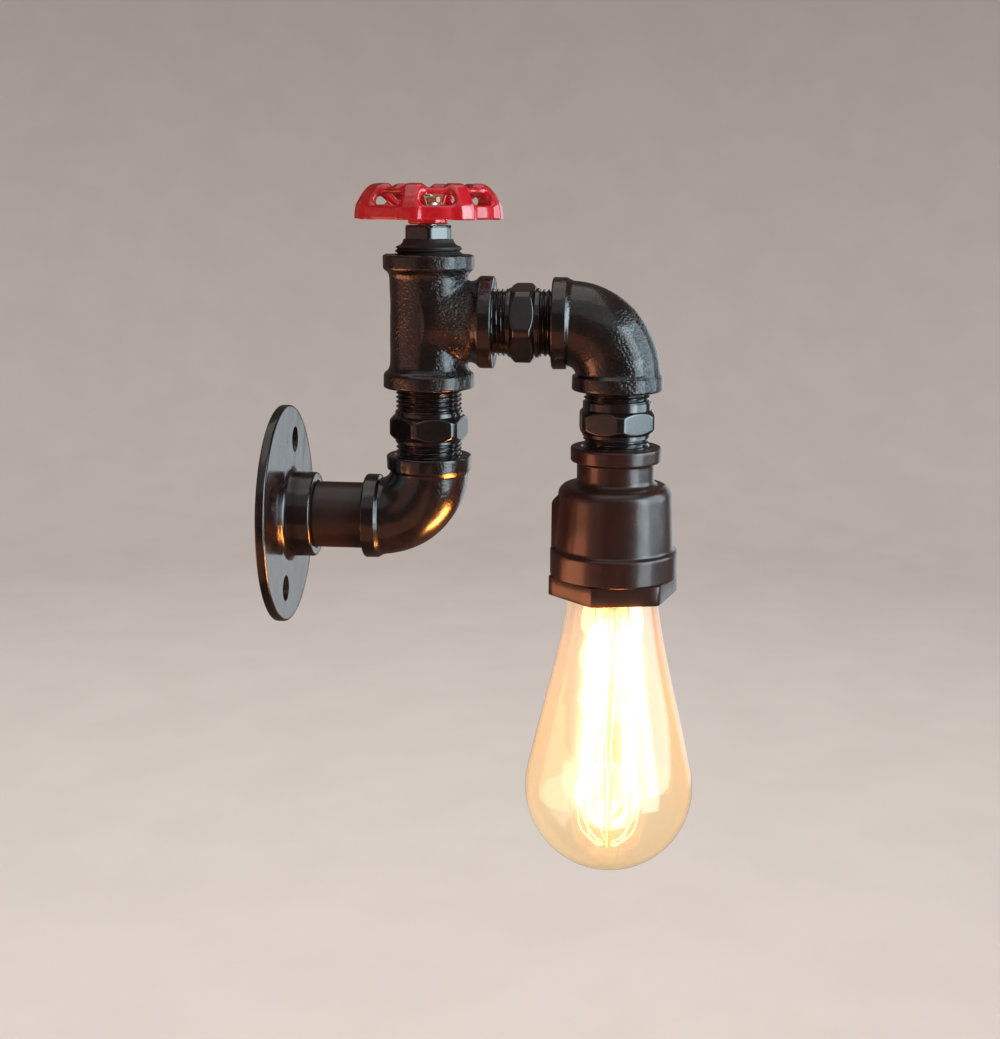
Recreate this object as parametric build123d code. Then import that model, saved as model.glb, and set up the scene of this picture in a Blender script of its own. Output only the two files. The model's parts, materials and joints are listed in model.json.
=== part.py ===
from build123d import *

import os
from math import cos, radians, sin, tan

# Industrial pipe wall light: malleable iron fittings on a round wall flange, a valve handwheel on top,
# a bell reducer that holds the lampholder, and a long-filament bulb.
# Millimetres. The origin is the centre of the flange's back face, the wall is the plane y = 0, the light
# reaches out of the wall along -Y, and +Z is up. The camera of the reference view stands on the -X side.

# ---------------------------------------------------------------- driving dimensions
# pipe thread, 3/4 inch
thread_crest = 13.22           # radius over the crests
thread_depth = 1.0
thread_pitch = 1.814
engagement = 10.5              # how far a male end goes into a fitting
socket_radius = thread_crest + 0.03
socket_depth = 11.5
socket_chamfer = 0.7
pipe_radius = 13.4
pipe_bore = 10.6
nipple_bore = 9.3

# wall flange
flange_radius = 44.3
flange_thickness = 3.7
flange_hub_radius = 17.2
flange_hub_front = 15.0        # distance of the hub's front face from the wall
flange_hub_fillet = 2.4
screw_circle_radius = 31.0
screw_hole_radius = 4.75
screw_hole_first_angle = 69.0  # from +X towards +Z
screw_hole_count = 4

# elbows: distance from corner to end, bend of the centre line, body and end band
lower_leg = 25.9
lower_bend = 20.0
lower_body_radius = 15.6
lower_band_radius = 17.1
upper_leg = 26.0
upper_bend = 20.0
upper_body_radius = 17.0
upper_band_radius = 18.1
elbow_bore = 10.4
elbow_band_rounding = 0.7

# tee
tee_half_run = 26.2
tee_waist_radius = 14.9
tee_body_radius = 15.5
tee_branch_radius = 15.9
tee_band_radius = 17.9
tee_band_width = 6.2
tee_bore = 11.6

# visible gaps between the fittings, and the hexagons of the nipples in them
barrel_gap = 20.3
riser_gap = 27.0
arm_gap = 22.9
drop_gap = 22.3
nipple_flats = 28.7
nipple_corner_rounding = 3.0
lower_shoulder = 1.6           # plain part under the hexagon
shoulder_radius = thread_crest + 0.35
riser_hex_from = 7.2           # from the lower fitting's face
riser_hex_height = 9.8
riser_facet_angle = 191.5      # direction of one facet's normal, from +X towards +Y
arm_hex_from = 6.6
arm_hex_height = 9.9
arm_facet_angle = 162.0        # from +X towards +Z
drop_hex_from = 6.3
drop_hex_height = 9.7
drop_facet_angle = 151.0       # from +X towards +Y

# bell reducer, measured down from its top face
reducer_height = 52.5
reducer_top_band_radius = 18.15
reducer_top_band_width = 5.8
reducer_neck_radius = 15.4
reducer_neck_bottom = 14.8
reducer_shoulder = 8.0
reducer_bell_top_radius = 22.6
reducer_bell_radius = 23.8
reducer_band_radius = 25.65
reducer_band_width = 10.8
reducer_rib_angle = 96.0       # from +X towards +Y
reducer_rib_width = 3.2
reducer_rib_reach = 25.5
bell_bore_radius = 19.3
mouth_depth = 13.0

# hexagon bush, thread 1 1/4 inch
bush_crest = 20.93
bush_pitch = 2.309
bush_flats = 46.4
bush_height = 7.8
bush_thread_length = 10.0
bush_bore = 19.0
bush_facet_angle = 133.0

# valve top
bonnet_thread_show = 2.6
bonnet_flare_height = 3.2
bonnet_hex_height = 5.5
bonnet_flats = 18.0
bonnet_flare_radius = 12.9
bonnet_corner_angle = 188.3    # from +X towards +Y
spindle_radius = 4.0
spindle_hole_radius = 4.05
spindle_square = 5.2
spindle_thread_radius = 2.45
seal_radius = 6.1
seal_height = 2.4
clip_thickness = 0.8
clip_radius = 6.0
clip_groove_radius = 3.2

# handwheel, measured up from the rim's bottom edge
wheel_above_tee = 39.7         # rim's bottom edge above the tee's centre
wheel_lobe_radius = 29.2
wheel_rim_radius = 27.6
wheel_rim_inner = 24.8
wheel_rim_height = 5.5
wheel_lobe_count = 8
wheel_lobe_width = 7.4
wheel_lobe_height = 13.5
wheel_ring_inner = 17.6
wheel_ring_outer = 23.2
wheel_ring_bottom = 9.9
wheel_ring_top = 12.3
wheel_hub_radius = 8.0
wheel_hub_bottom = -2.0
wheel_hub_top = 5.5
wheel_arm_count = 4
wheel_arm_width = 5.6
wheel_arm_thickness = 3.4
wheel_first_lobe = 38.3        # from +X towards +Y
wheel_first_arm = 83.3
washer_thickness = 0.8
washer_radius = 5.4
nut_flats = 8.0
nut_height = 2.4

# bulb and lampholder, heights measured down from the reducer's top face
bulb_radius = 34.8
bulb_centre = 143.4            # centre of the round end
bulb_tip = 179.4
bulb_neck_top = 54.8           # where the glass meets the cap
bulb_wall = 1.0
bulb_neck_radius = 17.8        # at the bush's mouth
bulb_side_radius = 26.6        # half way down the cone
cap_length = 27.0
cap_crest = 13.05
cap_pitch = 3.629
cap_thread_depth = 0.9
cap_wall = 0.5
holder_radius = 18.6
holder_collar_radius = 20.4
holder_collar_height = 3.0
holder_turret_radius = 12.0
holder_cavity_radius = 14.6
holder_throat_radius = 10.4
shell_wall = 0.5
shell_ridge = 0.85
shell_root_gap = 0.2           # between the cap's crests and the shell
terminal_x = 6.2
terminal_size = (4.6, 7.0, 5.0)
terminal_core_y = -1.6         # the core's hole, and the screw's on the other side
conductor_radius = 0.72
post_radius = 1.1

# filament and its supports
top_hook_radius = 7.4
top_hook_drop = 75.0
bottom_hook_radius = 12.3
bottom_hook_drop = 152.0
button_drop = 169.0
filament_radius = 0.35
support_radius = 0.28
filament_legs = 8              # pairs of strands

# wiring inside the pipes
core_radius = 1.25
core_spacing = 1.5             # of the two cores from the middle of the cable
sheath_radius = 4.4
sheath_bore = 3.8
cable_radii = [18.0, 13.0, 18.0]  # at the lower elbow, the tee and the upper elbow
core_end_radii = [8.0, 4.0]
earth_offset = 2.3             # of the earth core from the middle of the cable
core_start_y = -7.0            # inside the flange's mouth
sheath_start_y = -14.0

# ---------------------------------------------------------------- places that follow from them
lower_corner_y = -(flange_hub_front + barrel_gap + lower_leg)
lower_top_z = lower_leg
tee_bottom_z = lower_top_z + riser_gap
tee_z = tee_bottom_z + tee_half_run
tee_top_z = tee_z + tee_half_run
branch_face_y = lower_corner_y - tee_half_run
upper_face_y = branch_face_y - arm_gap
lamp_y = upper_face_y - upper_leg
upper_bottom_z = tee_z - upper_leg
reducer_top_z = upper_bottom_z - drop_gap
reducer_bottom_z = reducer_top_z - reducer_height
bush_bottom_z = reducer_bottom_z - bush_height
holder_step_z = reducer_bottom_z + mouth_depth
wheel_z = tee_z + wheel_above_tee
bonnet_top_z = tee_top_z + bonnet_thread_show + bonnet_flare_height + bonnet_hex_height
bonnet_foot_z = tee_top_z - engagement
hub_bottom_z = wheel_z + wheel_hub_bottom
hub_top_z = wheel_z + wheel_hub_top
cap_bottom_z = reducer_top_z - bulb_neck_top
cap_top_z = cap_bottom_z + cap_length
contact_foot_z = cap_top_z - 1.25
holder_bottom_z = cap_bottom_z + 0.8
holder_neck_z = cap_top_z - 3.6        # the shell's inner ring
holder_ceiling_z = cap_top_z + 2.6
holder_top_z = holder_ceiling_z + 5.8
sheath_end_z = reducer_top_z - 2.0
top_hook_z = reducer_top_z - top_hook_drop
bottom_hook_z = reducer_top_z - bottom_hook_drop
button_z = reducer_top_z - button_drop
hook_step = 360 / (filament_legs + 1)

riser = Pos(0, lower_corner_y, 0)
lamp = Pos(0, lamp_y, 0)
outward = Rot(X=90)            # turns +Z into -Y, out of the wall


# ---------------------------------------------------------------- shapes
def turned(points, roundings=None):
    """Solid turned about the Z axis from (radius, height) points, with a rounding for each corner."""
    if roundings:
        outline = FilletPolyline(*points, radius=roundings, close=True)
    else:
        outline = Polyline(*points, close=True)
    return revolve(Plane.XZ * make_face(outline), Axis.Z)


def rod(radius, bottom, top):
    """Round bar on the Z axis."""
    return Pos(0, 0, bottom) * Cylinder(radius, top - bottom, align=(Align.CENTER, Align.CENTER, Align.MIN))


def ridges(bottom, top, crest, depth, pitch):
    """(radius, height) points of a ridged thread between two heights, upwards."""
    count = int((top - bottom) / pitch)
    step = (top - bottom) / count
    points = [(crest - depth, bottom)]
    for turn in range(count):
        points.append((crest, bottom + (turn + 0.35) * step))
        points.append((crest, bottom + (turn + 0.65) * step))
        points.append((crest - depth, bottom + (turn + 1) * step))
    return points


def hexagon(flats, bottom, height, facet_angle, corner_rounding=0.0, chamfered=True):
    """Hexagon bar on the Z axis, with one facet's normal at facet_angle."""
    outline = RegularPolygon(flats / 2, 6, major_radius=False)
    if corner_rounding:
        outline = fillet(outline.vertices(), corner_rounding)
    bar = Pos(0, 0, bottom) * extrude(outline, height)
    if chamfered:
        face_radius = flats * 0.482
        corner_radius = flats * 0.6
        drop = (corner_radius - face_radius) * tan(radians(32))
        envelope = turned([
            (0, bottom), (face_radius, bottom), (corner_radius, bottom + drop),
            (corner_radius, bottom + height - drop), (face_radius, bottom + height), (0, bottom + height),
        ])
        bar = bar & envelope
    return Rot(Z=facet_angle - 30) * bar


def socket():
    """Space that a male end fills: mouth at z = 0, going down."""
    return turned([
        (0, 0.5), (socket_radius + socket_chamfer + 0.5, 0.5), (socket_radius, -socket_chamfer),
        (socket_radius, -socket_depth), (0, -socket_depth),
    ])


def band(radius, width, rounding):
    """Thickened end of a fitting as a solid: face at z = 0, going down."""
    points = [(0, 0), (radius, 0), (radius, -width), (0, -width)]
    return turned(points, [0, rounding, rounding * 0.5, 0])


def elbow(leg, bend, body_radius, band_radius):
    """Elbow with its corner at the origin and its ends facing +Y and +Z."""
    start = Plane(origin=(0, bend, 0), z_dir=(0, 1, 0))
    bend_axis = Axis((0, bend, bend), (-1, 0, 0))
    to_wall = Pos(0, leg, 0) * Rot(X=-90)
    to_top = Pos(0, 0, leg)
    end = band(band_radius, leg - bend, elbow_band_rounding)
    body = revolve(start * Circle(body_radius), bend_axis, 90) + to_wall * end + to_top * end
    passage = revolve(start * Circle(elbow_bore), bend_axis, 90)
    passage += to_wall * (socket() + rod(elbow_bore, -leg + bend, 0))
    passage += to_top * (socket() + rod(elbow_bore, -leg + bend, 0))
    return body - passage


def pipe_thread(bottom, top):
    return ridges(bottom, top, thread_crest, thread_depth, thread_pitch)


def hex_nipple(gap, hex_from, hex_height, facet_angle, upper_shoulder):
    """Nipple that fills a gap between two fittings: lower fitting's face at z = 0, upper one's at z = gap."""
    lower_end = hex_from - lower_shoulder
    upper_end = hex_from + hex_height + upper_shoulder
    outline = [(nipple_bore, -engagement)]
    outline += pipe_thread(-engagement, lower_end)
    outline += [(shoulder_radius, lower_end + 0.5), (shoulder_radius, upper_end - 0.5)]
    outline += pipe_thread(upper_end, gap + engagement)
    outline += [(nipple_bore, gap + engagement)]
    grip = hexagon(nipple_flats, hex_from, hex_height, facet_angle, nipple_corner_rounding)
    return turned(outline) + (grip - rod(nipple_bore, -engagement, gap + engagement))


# ---------------------------------------------------------------- pipe fittings
def wall_flange():
    disc_top = flange_thickness
    body = turned(
        [(0, 0), (flange_radius, 0), (flange_radius, disc_top), (flange_hub_radius, disc_top),
         (flange_hub_radius, flange_hub_front), (0, flange_hub_front)],
        [0, 0.4, 1.0, flange_hub_fillet, 0.9, 0],
    )
    body -= Pos(0, 0, flange_hub_front) * socket()
    body -= rod(socket_radius, -1, flange_hub_front)
    for turn in range(screw_hole_count):
        angle = screw_hole_first_angle + turn * 360 / screw_hole_count
        body -= Rot(Z=angle) * Pos(screw_circle_radius, 0, 0) * rod(screw_hole_radius, -1, disc_top + 1)
    return outward * body


def flange_nipple():
    """Barrel nipple: plain pipe between the two fittings, threaded where it goes into them."""
    first = flange_hub_front
    last = flange_hub_front + barrel_gap
    outline = [(pipe_bore, first - engagement)]
    outline += pipe_thread(first - engagement, first - 0.6)
    outline += [(pipe_radius, first + 0.05), (pipe_radius, last - 0.05)]
    outline += pipe_thread(last + 0.6, last + engagement)
    outline += [(pipe_bore, last + engagement)]
    return outward * turned(outline)


def lower_elbow():
    return riser * elbow(lower_leg, lower_bend, lower_body_radius, lower_band_radius)


def riser_hex_nipple():
    nipple = hex_nipple(riser_gap, riser_hex_from, riser_hex_height, riser_facet_angle, 2.2)
    return riser * Pos(0, 0, lower_top_z) * nipple


def tee():
    half = tee_half_run
    shoulder = half - tee_band_width
    run = turned(
        [(0, -half), (tee_band_radius, -half), (tee_band_radius - 0.5, -shoulder),
         (tee_body_radius, 1.9 - shoulder), (tee_waist_radius, 0), (tee_body_radius, shoulder - 1.9),
         (tee_band_radius - 0.5, shoulder), (tee_band_radius, half), (0, half)],
        [0, 0.8, 1.0, 1.6, 40, 1.6, 1.0, 0.8, 0],
    )
    branch = turned(
        [(0, 0), (tee_branch_radius, 0), (tee_branch_radius, shoulder - 1.6),
         (tee_band_radius - 0.3, shoulder), (tee_band_radius, half), (0, half)],
        [0, 0, 1.4, 1.0, 0.8, 0],
    )
    body = run + outward * branch
    passage = rod(tee_bore, -half, half) + outward * rod(tee_bore, 0, half)
    passage += Pos(0, 0, half) * socket() + Pos(0, 0, -half) * Rot(X=180) * socket()
    passage += outward * Pos(0, 0, half) * socket()
    return riser * Pos(0, 0, tee_z) * (body - passage)


def arm_hex_nipple():
    nipple = hex_nipple(arm_gap, arm_hex_from, arm_hex_height, arm_facet_angle, 1.4)
    return Pos(0, branch_face_y, tee_z) * outward * nipple


def upper_elbow():
    corner = Pos(0, lamp_y, tee_z)
    return corner * Rot(Y=180) * elbow(upper_leg, upper_bend, upper_body_radius, upper_band_radius)


def drop_hex_nipple():
    nipple = hex_nipple(drop_gap, drop_hex_from, drop_hex_height, drop_facet_angle, 2.8)
    return lamp * Pos(0, 0, reducer_top_z) * nipple


def reducer():
    """Bell reducer, built with its top face at z = 0."""
    bottom = -reducer_height
    band_top = bottom + reducer_band_width
    neck_top = -reducer_top_band_width
    bell_top = -reducer_neck_bottom
    body = turned(
        [(0, 0), (reducer_top_band_radius, 0), (reducer_top_band_radius, neck_top),
         (reducer_neck_radius, neck_top), (reducer_neck_radius, bell_top),
         (reducer_bell_top_radius, bell_top - 1.0), (reducer_bell_radius, band_top),
         (reducer_band_radius, band_top), (reducer_band_radius, bottom), (0, bottom)],
        [0, 0.7, 0.5, 0.8, 1.6, reducer_shoulder - 1.2, 0.8, 1.6, 0.5, 0],
    )
    rib_top = bell_top - reducer_shoulder
    rib_outline = Polyline(
        (0, rib_top + 2.4), (reducer_bell_top_radius - 0.6, rib_top + 2.4),
        (reducer_rib_reach - 0.6, rib_top), (reducer_rib_reach, band_top - 0.5), (0, band_top - 0.5),
        close=True,
    )
    rib = extrude(Plane.XZ * make_face(rib_outline), reducer_rib_width / 2, both=True)
    body += Rot(Z=reducer_rib_angle) * rib
    step = bottom + mouth_depth
    passage = socket() + rod(nipple_bore + 1.2, bell_top - 10, 0)
    passage += turned([
        (0, bottom - 1), (bush_crest + 1.0, bottom - 1), (bush_crest + 0.03, bottom + 0.7),
        (bush_crest + 0.03, step), (bell_bore_radius, step), (bell_bore_radius, bell_top - 9.5),
        (nipple_bore + 3.6, bell_top - 4.2), (0, bell_top - 4.2),
    ])
    return lamp * Pos(0, 0, reducer_top_z) * (body - passage)


def hex_bush():
    """Hexagon bush, screwed into the reducer's mouth up to its hexagon."""
    grip = hexagon(bush_flats, -bush_height, bush_height, bush_facet_angle, chamfered=False)
    grip = chamfer(grip.edges().filter_by(GeomType.LINE), 0.25)
    outline = [(0, -1)]
    outline += ridges(-0.01, bush_thread_length, bush_crest, 1.3, bush_pitch)
    outline += [(0, bush_thread_length)]
    body = grip + turned(outline) - rod(bush_bore, -bush_height - 1, bush_thread_length + 1)
    return lamp * Pos(0, 0, reducer_bottom_z) * body


# ---------------------------------------------------------------- valve top
def valve_bonnet():
    thread_top = tee_top_z + bonnet_thread_show
    hex_bottom = thread_top + bonnet_flare_height
    foot = bonnet_foot_z
    outline = [(0, foot)]
    outline += pipe_thread(foot, thread_top)
    outline += [(bonnet_flare_radius, thread_top + 0.1), (bonnet_flare_radius - 1.7, thread_top + 1.2)]
    outline += [(bonnet_flare_radius - 2.5, hex_bottom), (bonnet_flats * 0.49, hex_bottom + 0.7)]
    outline += [(bonnet_flats * 0.49, bonnet_top_z), (0, bonnet_top_z)]
    grip = hexagon(bonnet_flats, hex_bottom - 1.2, bonnet_hex_height + 1.2, bonnet_corner_angle + 30, 0.8)
    body = turned(outline) + grip
    body -= rod(spindle_hole_radius, foot - 1, bonnet_top_z + 1)
    body -= rod(seal_radius + 0.02, foot - 1, foot + seal_height)
    return riser * body


def valve_stem():
    """Spindle: round in the bonnet, square in the wheel's hub, threaded for the nut, grooved for the clip."""
    groove_top = bonnet_foot_z - 0.15
    groove_bottom = groove_top - clip_thickness - 0.1
    thread_top = hub_top_z + washer_thickness + nut_height + 0.9
    foot = groove_bottom - 1.6
    barrel = turned(
        [(0, foot), (spindle_radius, foot), (spindle_radius, groove_bottom),
         (clip_groove_radius, groove_bottom), (clip_groove_radius, groove_top), (spindle_radius, groove_top),
         (spindle_radius, hub_bottom_z), (0, hub_bottom_z)],
    )
    square = Rectangle(spindle_square, spindle_square)
    neck = Pos(0, 0, hub_bottom_z) * extrude(square, hub_top_z - hub_bottom_z)
    screw = [(0, hub_top_z)]
    screw += ridges(hub_top_z, thread_top, spindle_thread_radius, 0.4, 0.8)
    screw += [(0, thread_top)]
    return riser * Rot(Z=wheel_first_arm) * (barrel + neck + turned(screw))


def stem_seal():
    """Packing ring pressed into the bonnet's foot round the spindle."""
    ring = rod(seal_radius, bonnet_foot_z + 0.05, bonnet_foot_z + seal_height)
    return riser * (ring - rod(spindle_hole_radius, bonnet_foot_z - 1, tee_top_z))


def stem_clip():
    """Open clip in the spindle's groove, under the bonnet's foot."""
    top = bonnet_foot_z - 0.2
    ring = rod(clip_radius, top - clip_thickness, top) - rod(clip_groove_radius + 0.02, top - 5, top + 1)
    mouth = Pos(clip_radius, 0, top) * Box(2 * clip_radius, 2 * clip_groove_radius - 1.2, 4)
    return riser * (ring - mouth)


def handwheel():
    """Dished wheel: lobed rim, windows above it, top ring, four arms down to the hub."""
    rim = turned(
        [(wheel_rim_inner, 0), (wheel_rim_radius, 0), (wheel_rim_radius - 0.4, wheel_rim_height),
         (wheel_rim_inner + 0.2, wheel_rim_height)],
        [0.6, 0.8, 1.1, 0.8],
    )
    ring = turned(
        [(wheel_ring_inner, wheel_ring_bottom), (wheel_ring_outer - 0.6, wheel_ring_bottom),
         (wheel_ring_outer - 2.2, wheel_ring_top), (wheel_ring_inner + 0.4, wheel_ring_top)],
        [0.7, 0.7, 0.9, 1.0],
    )
    wheel = rim + ring
    knee = (wheel_lobe_radius - 2.9, 10.2)
    lobe_outline = FilletPolyline(
        (wheel_rim_inner + 1.0, 0), (wheel_lobe_radius, 0), (wheel_lobe_radius - 0.2, 4.8), knee,
        (wheel_ring_outer - 0.9, wheel_lobe_height - 0.5), (wheel_ring_inner + 1.6, wheel_lobe_height),
        (wheel_ring_inner + 0.2, wheel_lobe_height - 0.8), (wheel_ring_inner + 0.2, wheel_ring_bottom),
        (wheel_ring_outer - 2.0, wheel_ring_bottom - 0.6), (wheel_rim_inner + 0.2, wheel_rim_height - 1.5),
        radius=[0.4, 0.8, 6.0, 7.0, 6.0, 1.2, 0.5, 0.5, 1.5, 0.5], close=True,
    )
    lobe = extrude(Plane.XZ * make_face(lobe_outline), wheel_lobe_width / 2, both=True)
    lobe = lobe & turned([(0, -1), (wheel_lobe_radius + 1, -1), (wheel_lobe_radius + 1, 20), (0, 20)])
    for turn in range(wheel_lobe_count):
        wheel += Rot(Z=wheel_first_lobe + turn * 360 / wheel_lobe_count) * lobe
    top = wheel_arm_thickness
    arm_outline = FilletPolyline(
        (wheel_hub_radius - 3, 1.4), (wheel_hub_radius + 1.5, 1.4),
        (wheel_ring_inner + 1.0, wheel_ring_bottom + 0.2),
        (wheel_ring_inner + 2.4, wheel_ring_top - 0.5), (wheel_ring_inner, wheel_ring_top - 0.5),
        (wheel_hub_radius + 0.5, 1.4 + top), (wheel_hub_radius - 3, 1.4 + top),
        radius=[0, 4.0, 0.5, 0.5, 0.5, 4.0, 0], close=True,
    )
    arm = extrude(Plane.XZ * make_face(arm_outline), wheel_arm_width / 2, both=True)
    for turn in range(wheel_arm_count):
        wheel += Rot(Z=wheel_first_arm + turn * 360 / wheel_arm_count) * arm
    wheel += turned(
        [(0, wheel_hub_bottom), (wheel_hub_radius - 0.6, wheel_hub_bottom), (wheel_hub_radius, 1.0),
         (wheel_hub_radius - 1.2, wheel_hub_top), (0, wheel_hub_top)],
        [0, 0.6, 1.5, 0.8, 0],
    )
    hole_side = spindle_square + 0.04
    hole = Rot(Z=wheel_first_arm) * Box(hole_side, hole_side, 40)
    return riser * Pos(0, 0, wheel_z) * (wheel - hole)


def wheel_washer():
    ring = rod(washer_radius, hub_top_z + 0.01, hub_top_z + washer_thickness)
    return riser * (ring - rod(spindle_thread_radius + 0.15, hub_top_z - 1, hub_top_z + 5))


def wheel_nut():
    bottom = hub_top_z + washer_thickness
    nut = hexagon(nut_flats, bottom, nut_height, 20)
    return riser * (nut - rod(spindle_thread_radius + 0.02, bottom - 1, bottom + nut_height + 1))


# ---------------------------------------------------------------- lampholder
def lampholder_body():
    """Ceramic body, its collar clamped between the bush's end and the step in the bell."""
    collar_bottom = holder_step_z - holder_collar_height
    body = turned(
        [(0, holder_bottom_z), (holder_radius, holder_bottom_z), (holder_radius, collar_bottom),
         (holder_collar_radius, collar_bottom), (holder_collar_radius, holder_step_z),
         (holder_radius, holder_step_z), (holder_radius, holder_ceiling_z - 2.5),
         (holder_turret_radius, holder_top_z - 3.6), (holder_turret_radius, holder_top_z), (0, holder_top_z)],
        [0, 0.8, 0.3, 0.3, 0.3, 0.3, 1.0, 1.0, 0.8, 0],
    )
    body -= rod(holder_cavity_radius, holder_bottom_z - 1, holder_neck_z)
    body -= rod(holder_throat_radius, holder_neck_z - 1, holder_ceiling_z)
    width, depth, height = terminal_size
    for side in (-1, 1):
        body -= Pos(side * terminal_x, 0, holder_top_z) * Box(width + 0.2, depth + 0.2, 2 * height)
        body -= Pos(side * terminal_x, 0, 0) * rod(post_radius + 0.05, holder_ceiling_z - 1, holder_top_z)
    return lamp * body


def lampholder_shell():
    """Screw shell with its inner ring, and the tab that carries the neutral up to its terminal."""
    outer_radius = holder_cavity_radius - 0.1
    crest = cap_crest + shell_root_gap + shell_ridge
    ring_radius = holder_throat_radius + 0.2
    ring_bottom = holder_neck_z - shell_wall
    outline = [(outer_radius, holder_bottom_z + 0.5), (crest, holder_bottom_z + 0.5)]
    outline += ridges(holder_bottom_z + 0.9, ring_bottom - 1.5, crest, shell_ridge, cap_pitch)
    outline += [(cap_crest + shell_root_gap, ring_bottom), (ring_radius, ring_bottom)]
    outline += [(ring_radius, holder_neck_z), (outer_radius, holder_neck_z)]
    tab_x = -(holder_throat_radius - 0.45)
    tab_top = holder_ceiling_z - 0.1
    tab_width = 3.0
    tab = 0.6
    bridge_length = tab / 2 - tab_x - terminal_x + 1.5
    foot = Pos(tab_x - 0.5, 0, ring_bottom + shell_wall / 2) * Box(1.6, tab_width, shell_wall)
    upright = Pos(tab_x, 0, (ring_bottom + tab_top) / 2) * Box(tab, tab_width, tab_top - ring_bottom)
    bridge = Pos(tab_x + (bridge_length - tab) / 2, 0, tab_top - tab / 2) * Box(bridge_length, tab_width, tab)
    post = Pos(-terminal_x, 0, 0) * rod(post_radius, tab_top - 0.3, holder_top_z - terminal_size[2])
    return lamp * (turned(outline) + foot + upright + bridge + post)


def lampholder_contact():
    """Sprung tongue over the bulb's end contact, on the post of the live terminal."""
    tongue_top = holder_ceiling_z - 0.1
    gap = 0.12
    low = cap_top_z + gap
    outline = FilletPolyline(
        (-2.2, low), (2.2, low), (5.2, tongue_top - 0.5), (7.6, tongue_top - 0.5), (7.6, tongue_top),
        (4.9, tongue_top), (1.9, low + 0.5), (-2.2, low + 0.5),
        radius=[0.1, 0.6, 0.6, 0.1, 0.1, 0.6, 0.6, 0.1], close=True,
    )
    tongue = extrude(Plane.XZ * make_face(outline), 2.4, both=True)
    post = Pos(terminal_x, 0, 0) * rod(post_radius, tongue_top - 0.3, holder_top_z - terminal_size[2])
    return lamp * (tongue + post)


def terminal_blocks():
    """Two brass blocks in the ceramic's top, each with a hole for its core and one for its screw."""
    width, depth, height = terminal_size
    blocks = []
    for side in (-1, 1):
        block = Pos(side * terminal_x, 0, holder_top_z - height / 2) * Box(width, depth, height)
        core_hole = Pos(side * terminal_x, terminal_core_y, 0)
        screw_hole = Pos(side * terminal_x, -terminal_core_y, 0)
        block -= core_hole * rod(conductor_radius + 0.03, holder_top_z - 3.6, holder_top_z + 1)
        block -= screw_hole * rod(1.27, holder_top_z - 4, holder_top_z + 1)
        blocks.append(lamp * block)
    return Compound(children=blocks)


def terminal_screws():
    """Slotted screws in the terminal blocks."""
    screws = []
    for side in (-1, 1):
        shank = rod(1.25, holder_top_z - 3.6, holder_top_z + 0.2)
        head = rod(1.8, holder_top_z + 0.1, holder_top_z + 1.5)
        slot = Pos(0, 0, holder_top_z + 1.5) * Box(5, 0.5, 1.2)
        screws.append(lamp * Pos(side * terminal_x, -terminal_core_y, 0) * (shank + head - slot))
    return Compound(children=screws)


# ---------------------------------------------------------------- wiring
def swept(path, profile):
    """Solid of a round profile along a path."""
    start = path @ 0
    direction = path % 0
    return sweep(Plane(origin=start, z_dir=direction) * profile, path)


def cable_route(offset, start_y, end_points, end_radii):
    """Path inside the pipes, offset sideways from their centre line, from the flange to the lampholder."""
    corners = [
        (offset, start_y, 0), (offset, lower_corner_y, 0), (offset, lower_corner_y, tee_z),
        (offset, lamp_y, tee_z),
    ]
    return FilletPolyline(*corners, *end_points, radius=cable_radii + end_radii)


def core(side):
    """One insulated core, from the flange's mouth to its terminal."""
    offset = side * core_spacing
    bare_end = holder_top_z + 0.8
    hole_x = side * terminal_x
    hole_y = lamp_y + terminal_core_y
    last_points = [
        (offset, lamp_y, sheath_end_z - 3), (hole_x, hole_y, holder_top_z + 5.5), (hole_x, hole_y, bare_end),
    ]
    route = cable_route(offset, core_start_y, last_points, core_end_radii)
    conductor = Pos(hole_x, hole_y, 0) * rod(conductor_radius, holder_top_z - 3.4, bare_end + 1)
    print("core length", round(route.length, 1), "radii", cable_radii + core_end_radii)
    return swept(route, Circle(core_radius)) + conductor


def earth_core():
    """Earth core beside the other two, from the flange's mouth to its free end in the reducer's neck."""
    riser_y = lower_corner_y + earth_offset
    arm_z = tee_z + earth_offset
    drop_y = lamp_y - earth_offset
    lower_radius, tee_radius, upper_radius = cable_radii
    radii = [lower_radius - earth_offset, tee_radius + earth_offset, upper_radius + earth_offset]
    path = FilletPolyline(
        (0, core_start_y, earth_offset), (0, riser_y, earth_offset), (0, riser_y, arm_z), (0, drop_y, arm_z),
        (0, drop_y, sheath_end_z - 3),
        radius=radii,
    )
    print("earth length", round(path.length, 1), "radii", radii)
    return swept(path, Circle(core_radius))


def cable_sheath():
    path = cable_route(0, sheath_start_y, [(0, lamp_y, sheath_end_z)], [])
    tube = swept(path, Circle(sheath_radius) - Circle(sheath_bore))
    print("sheath length", round(path.length, 1), "radii", cable_radii)
    return tube


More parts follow.
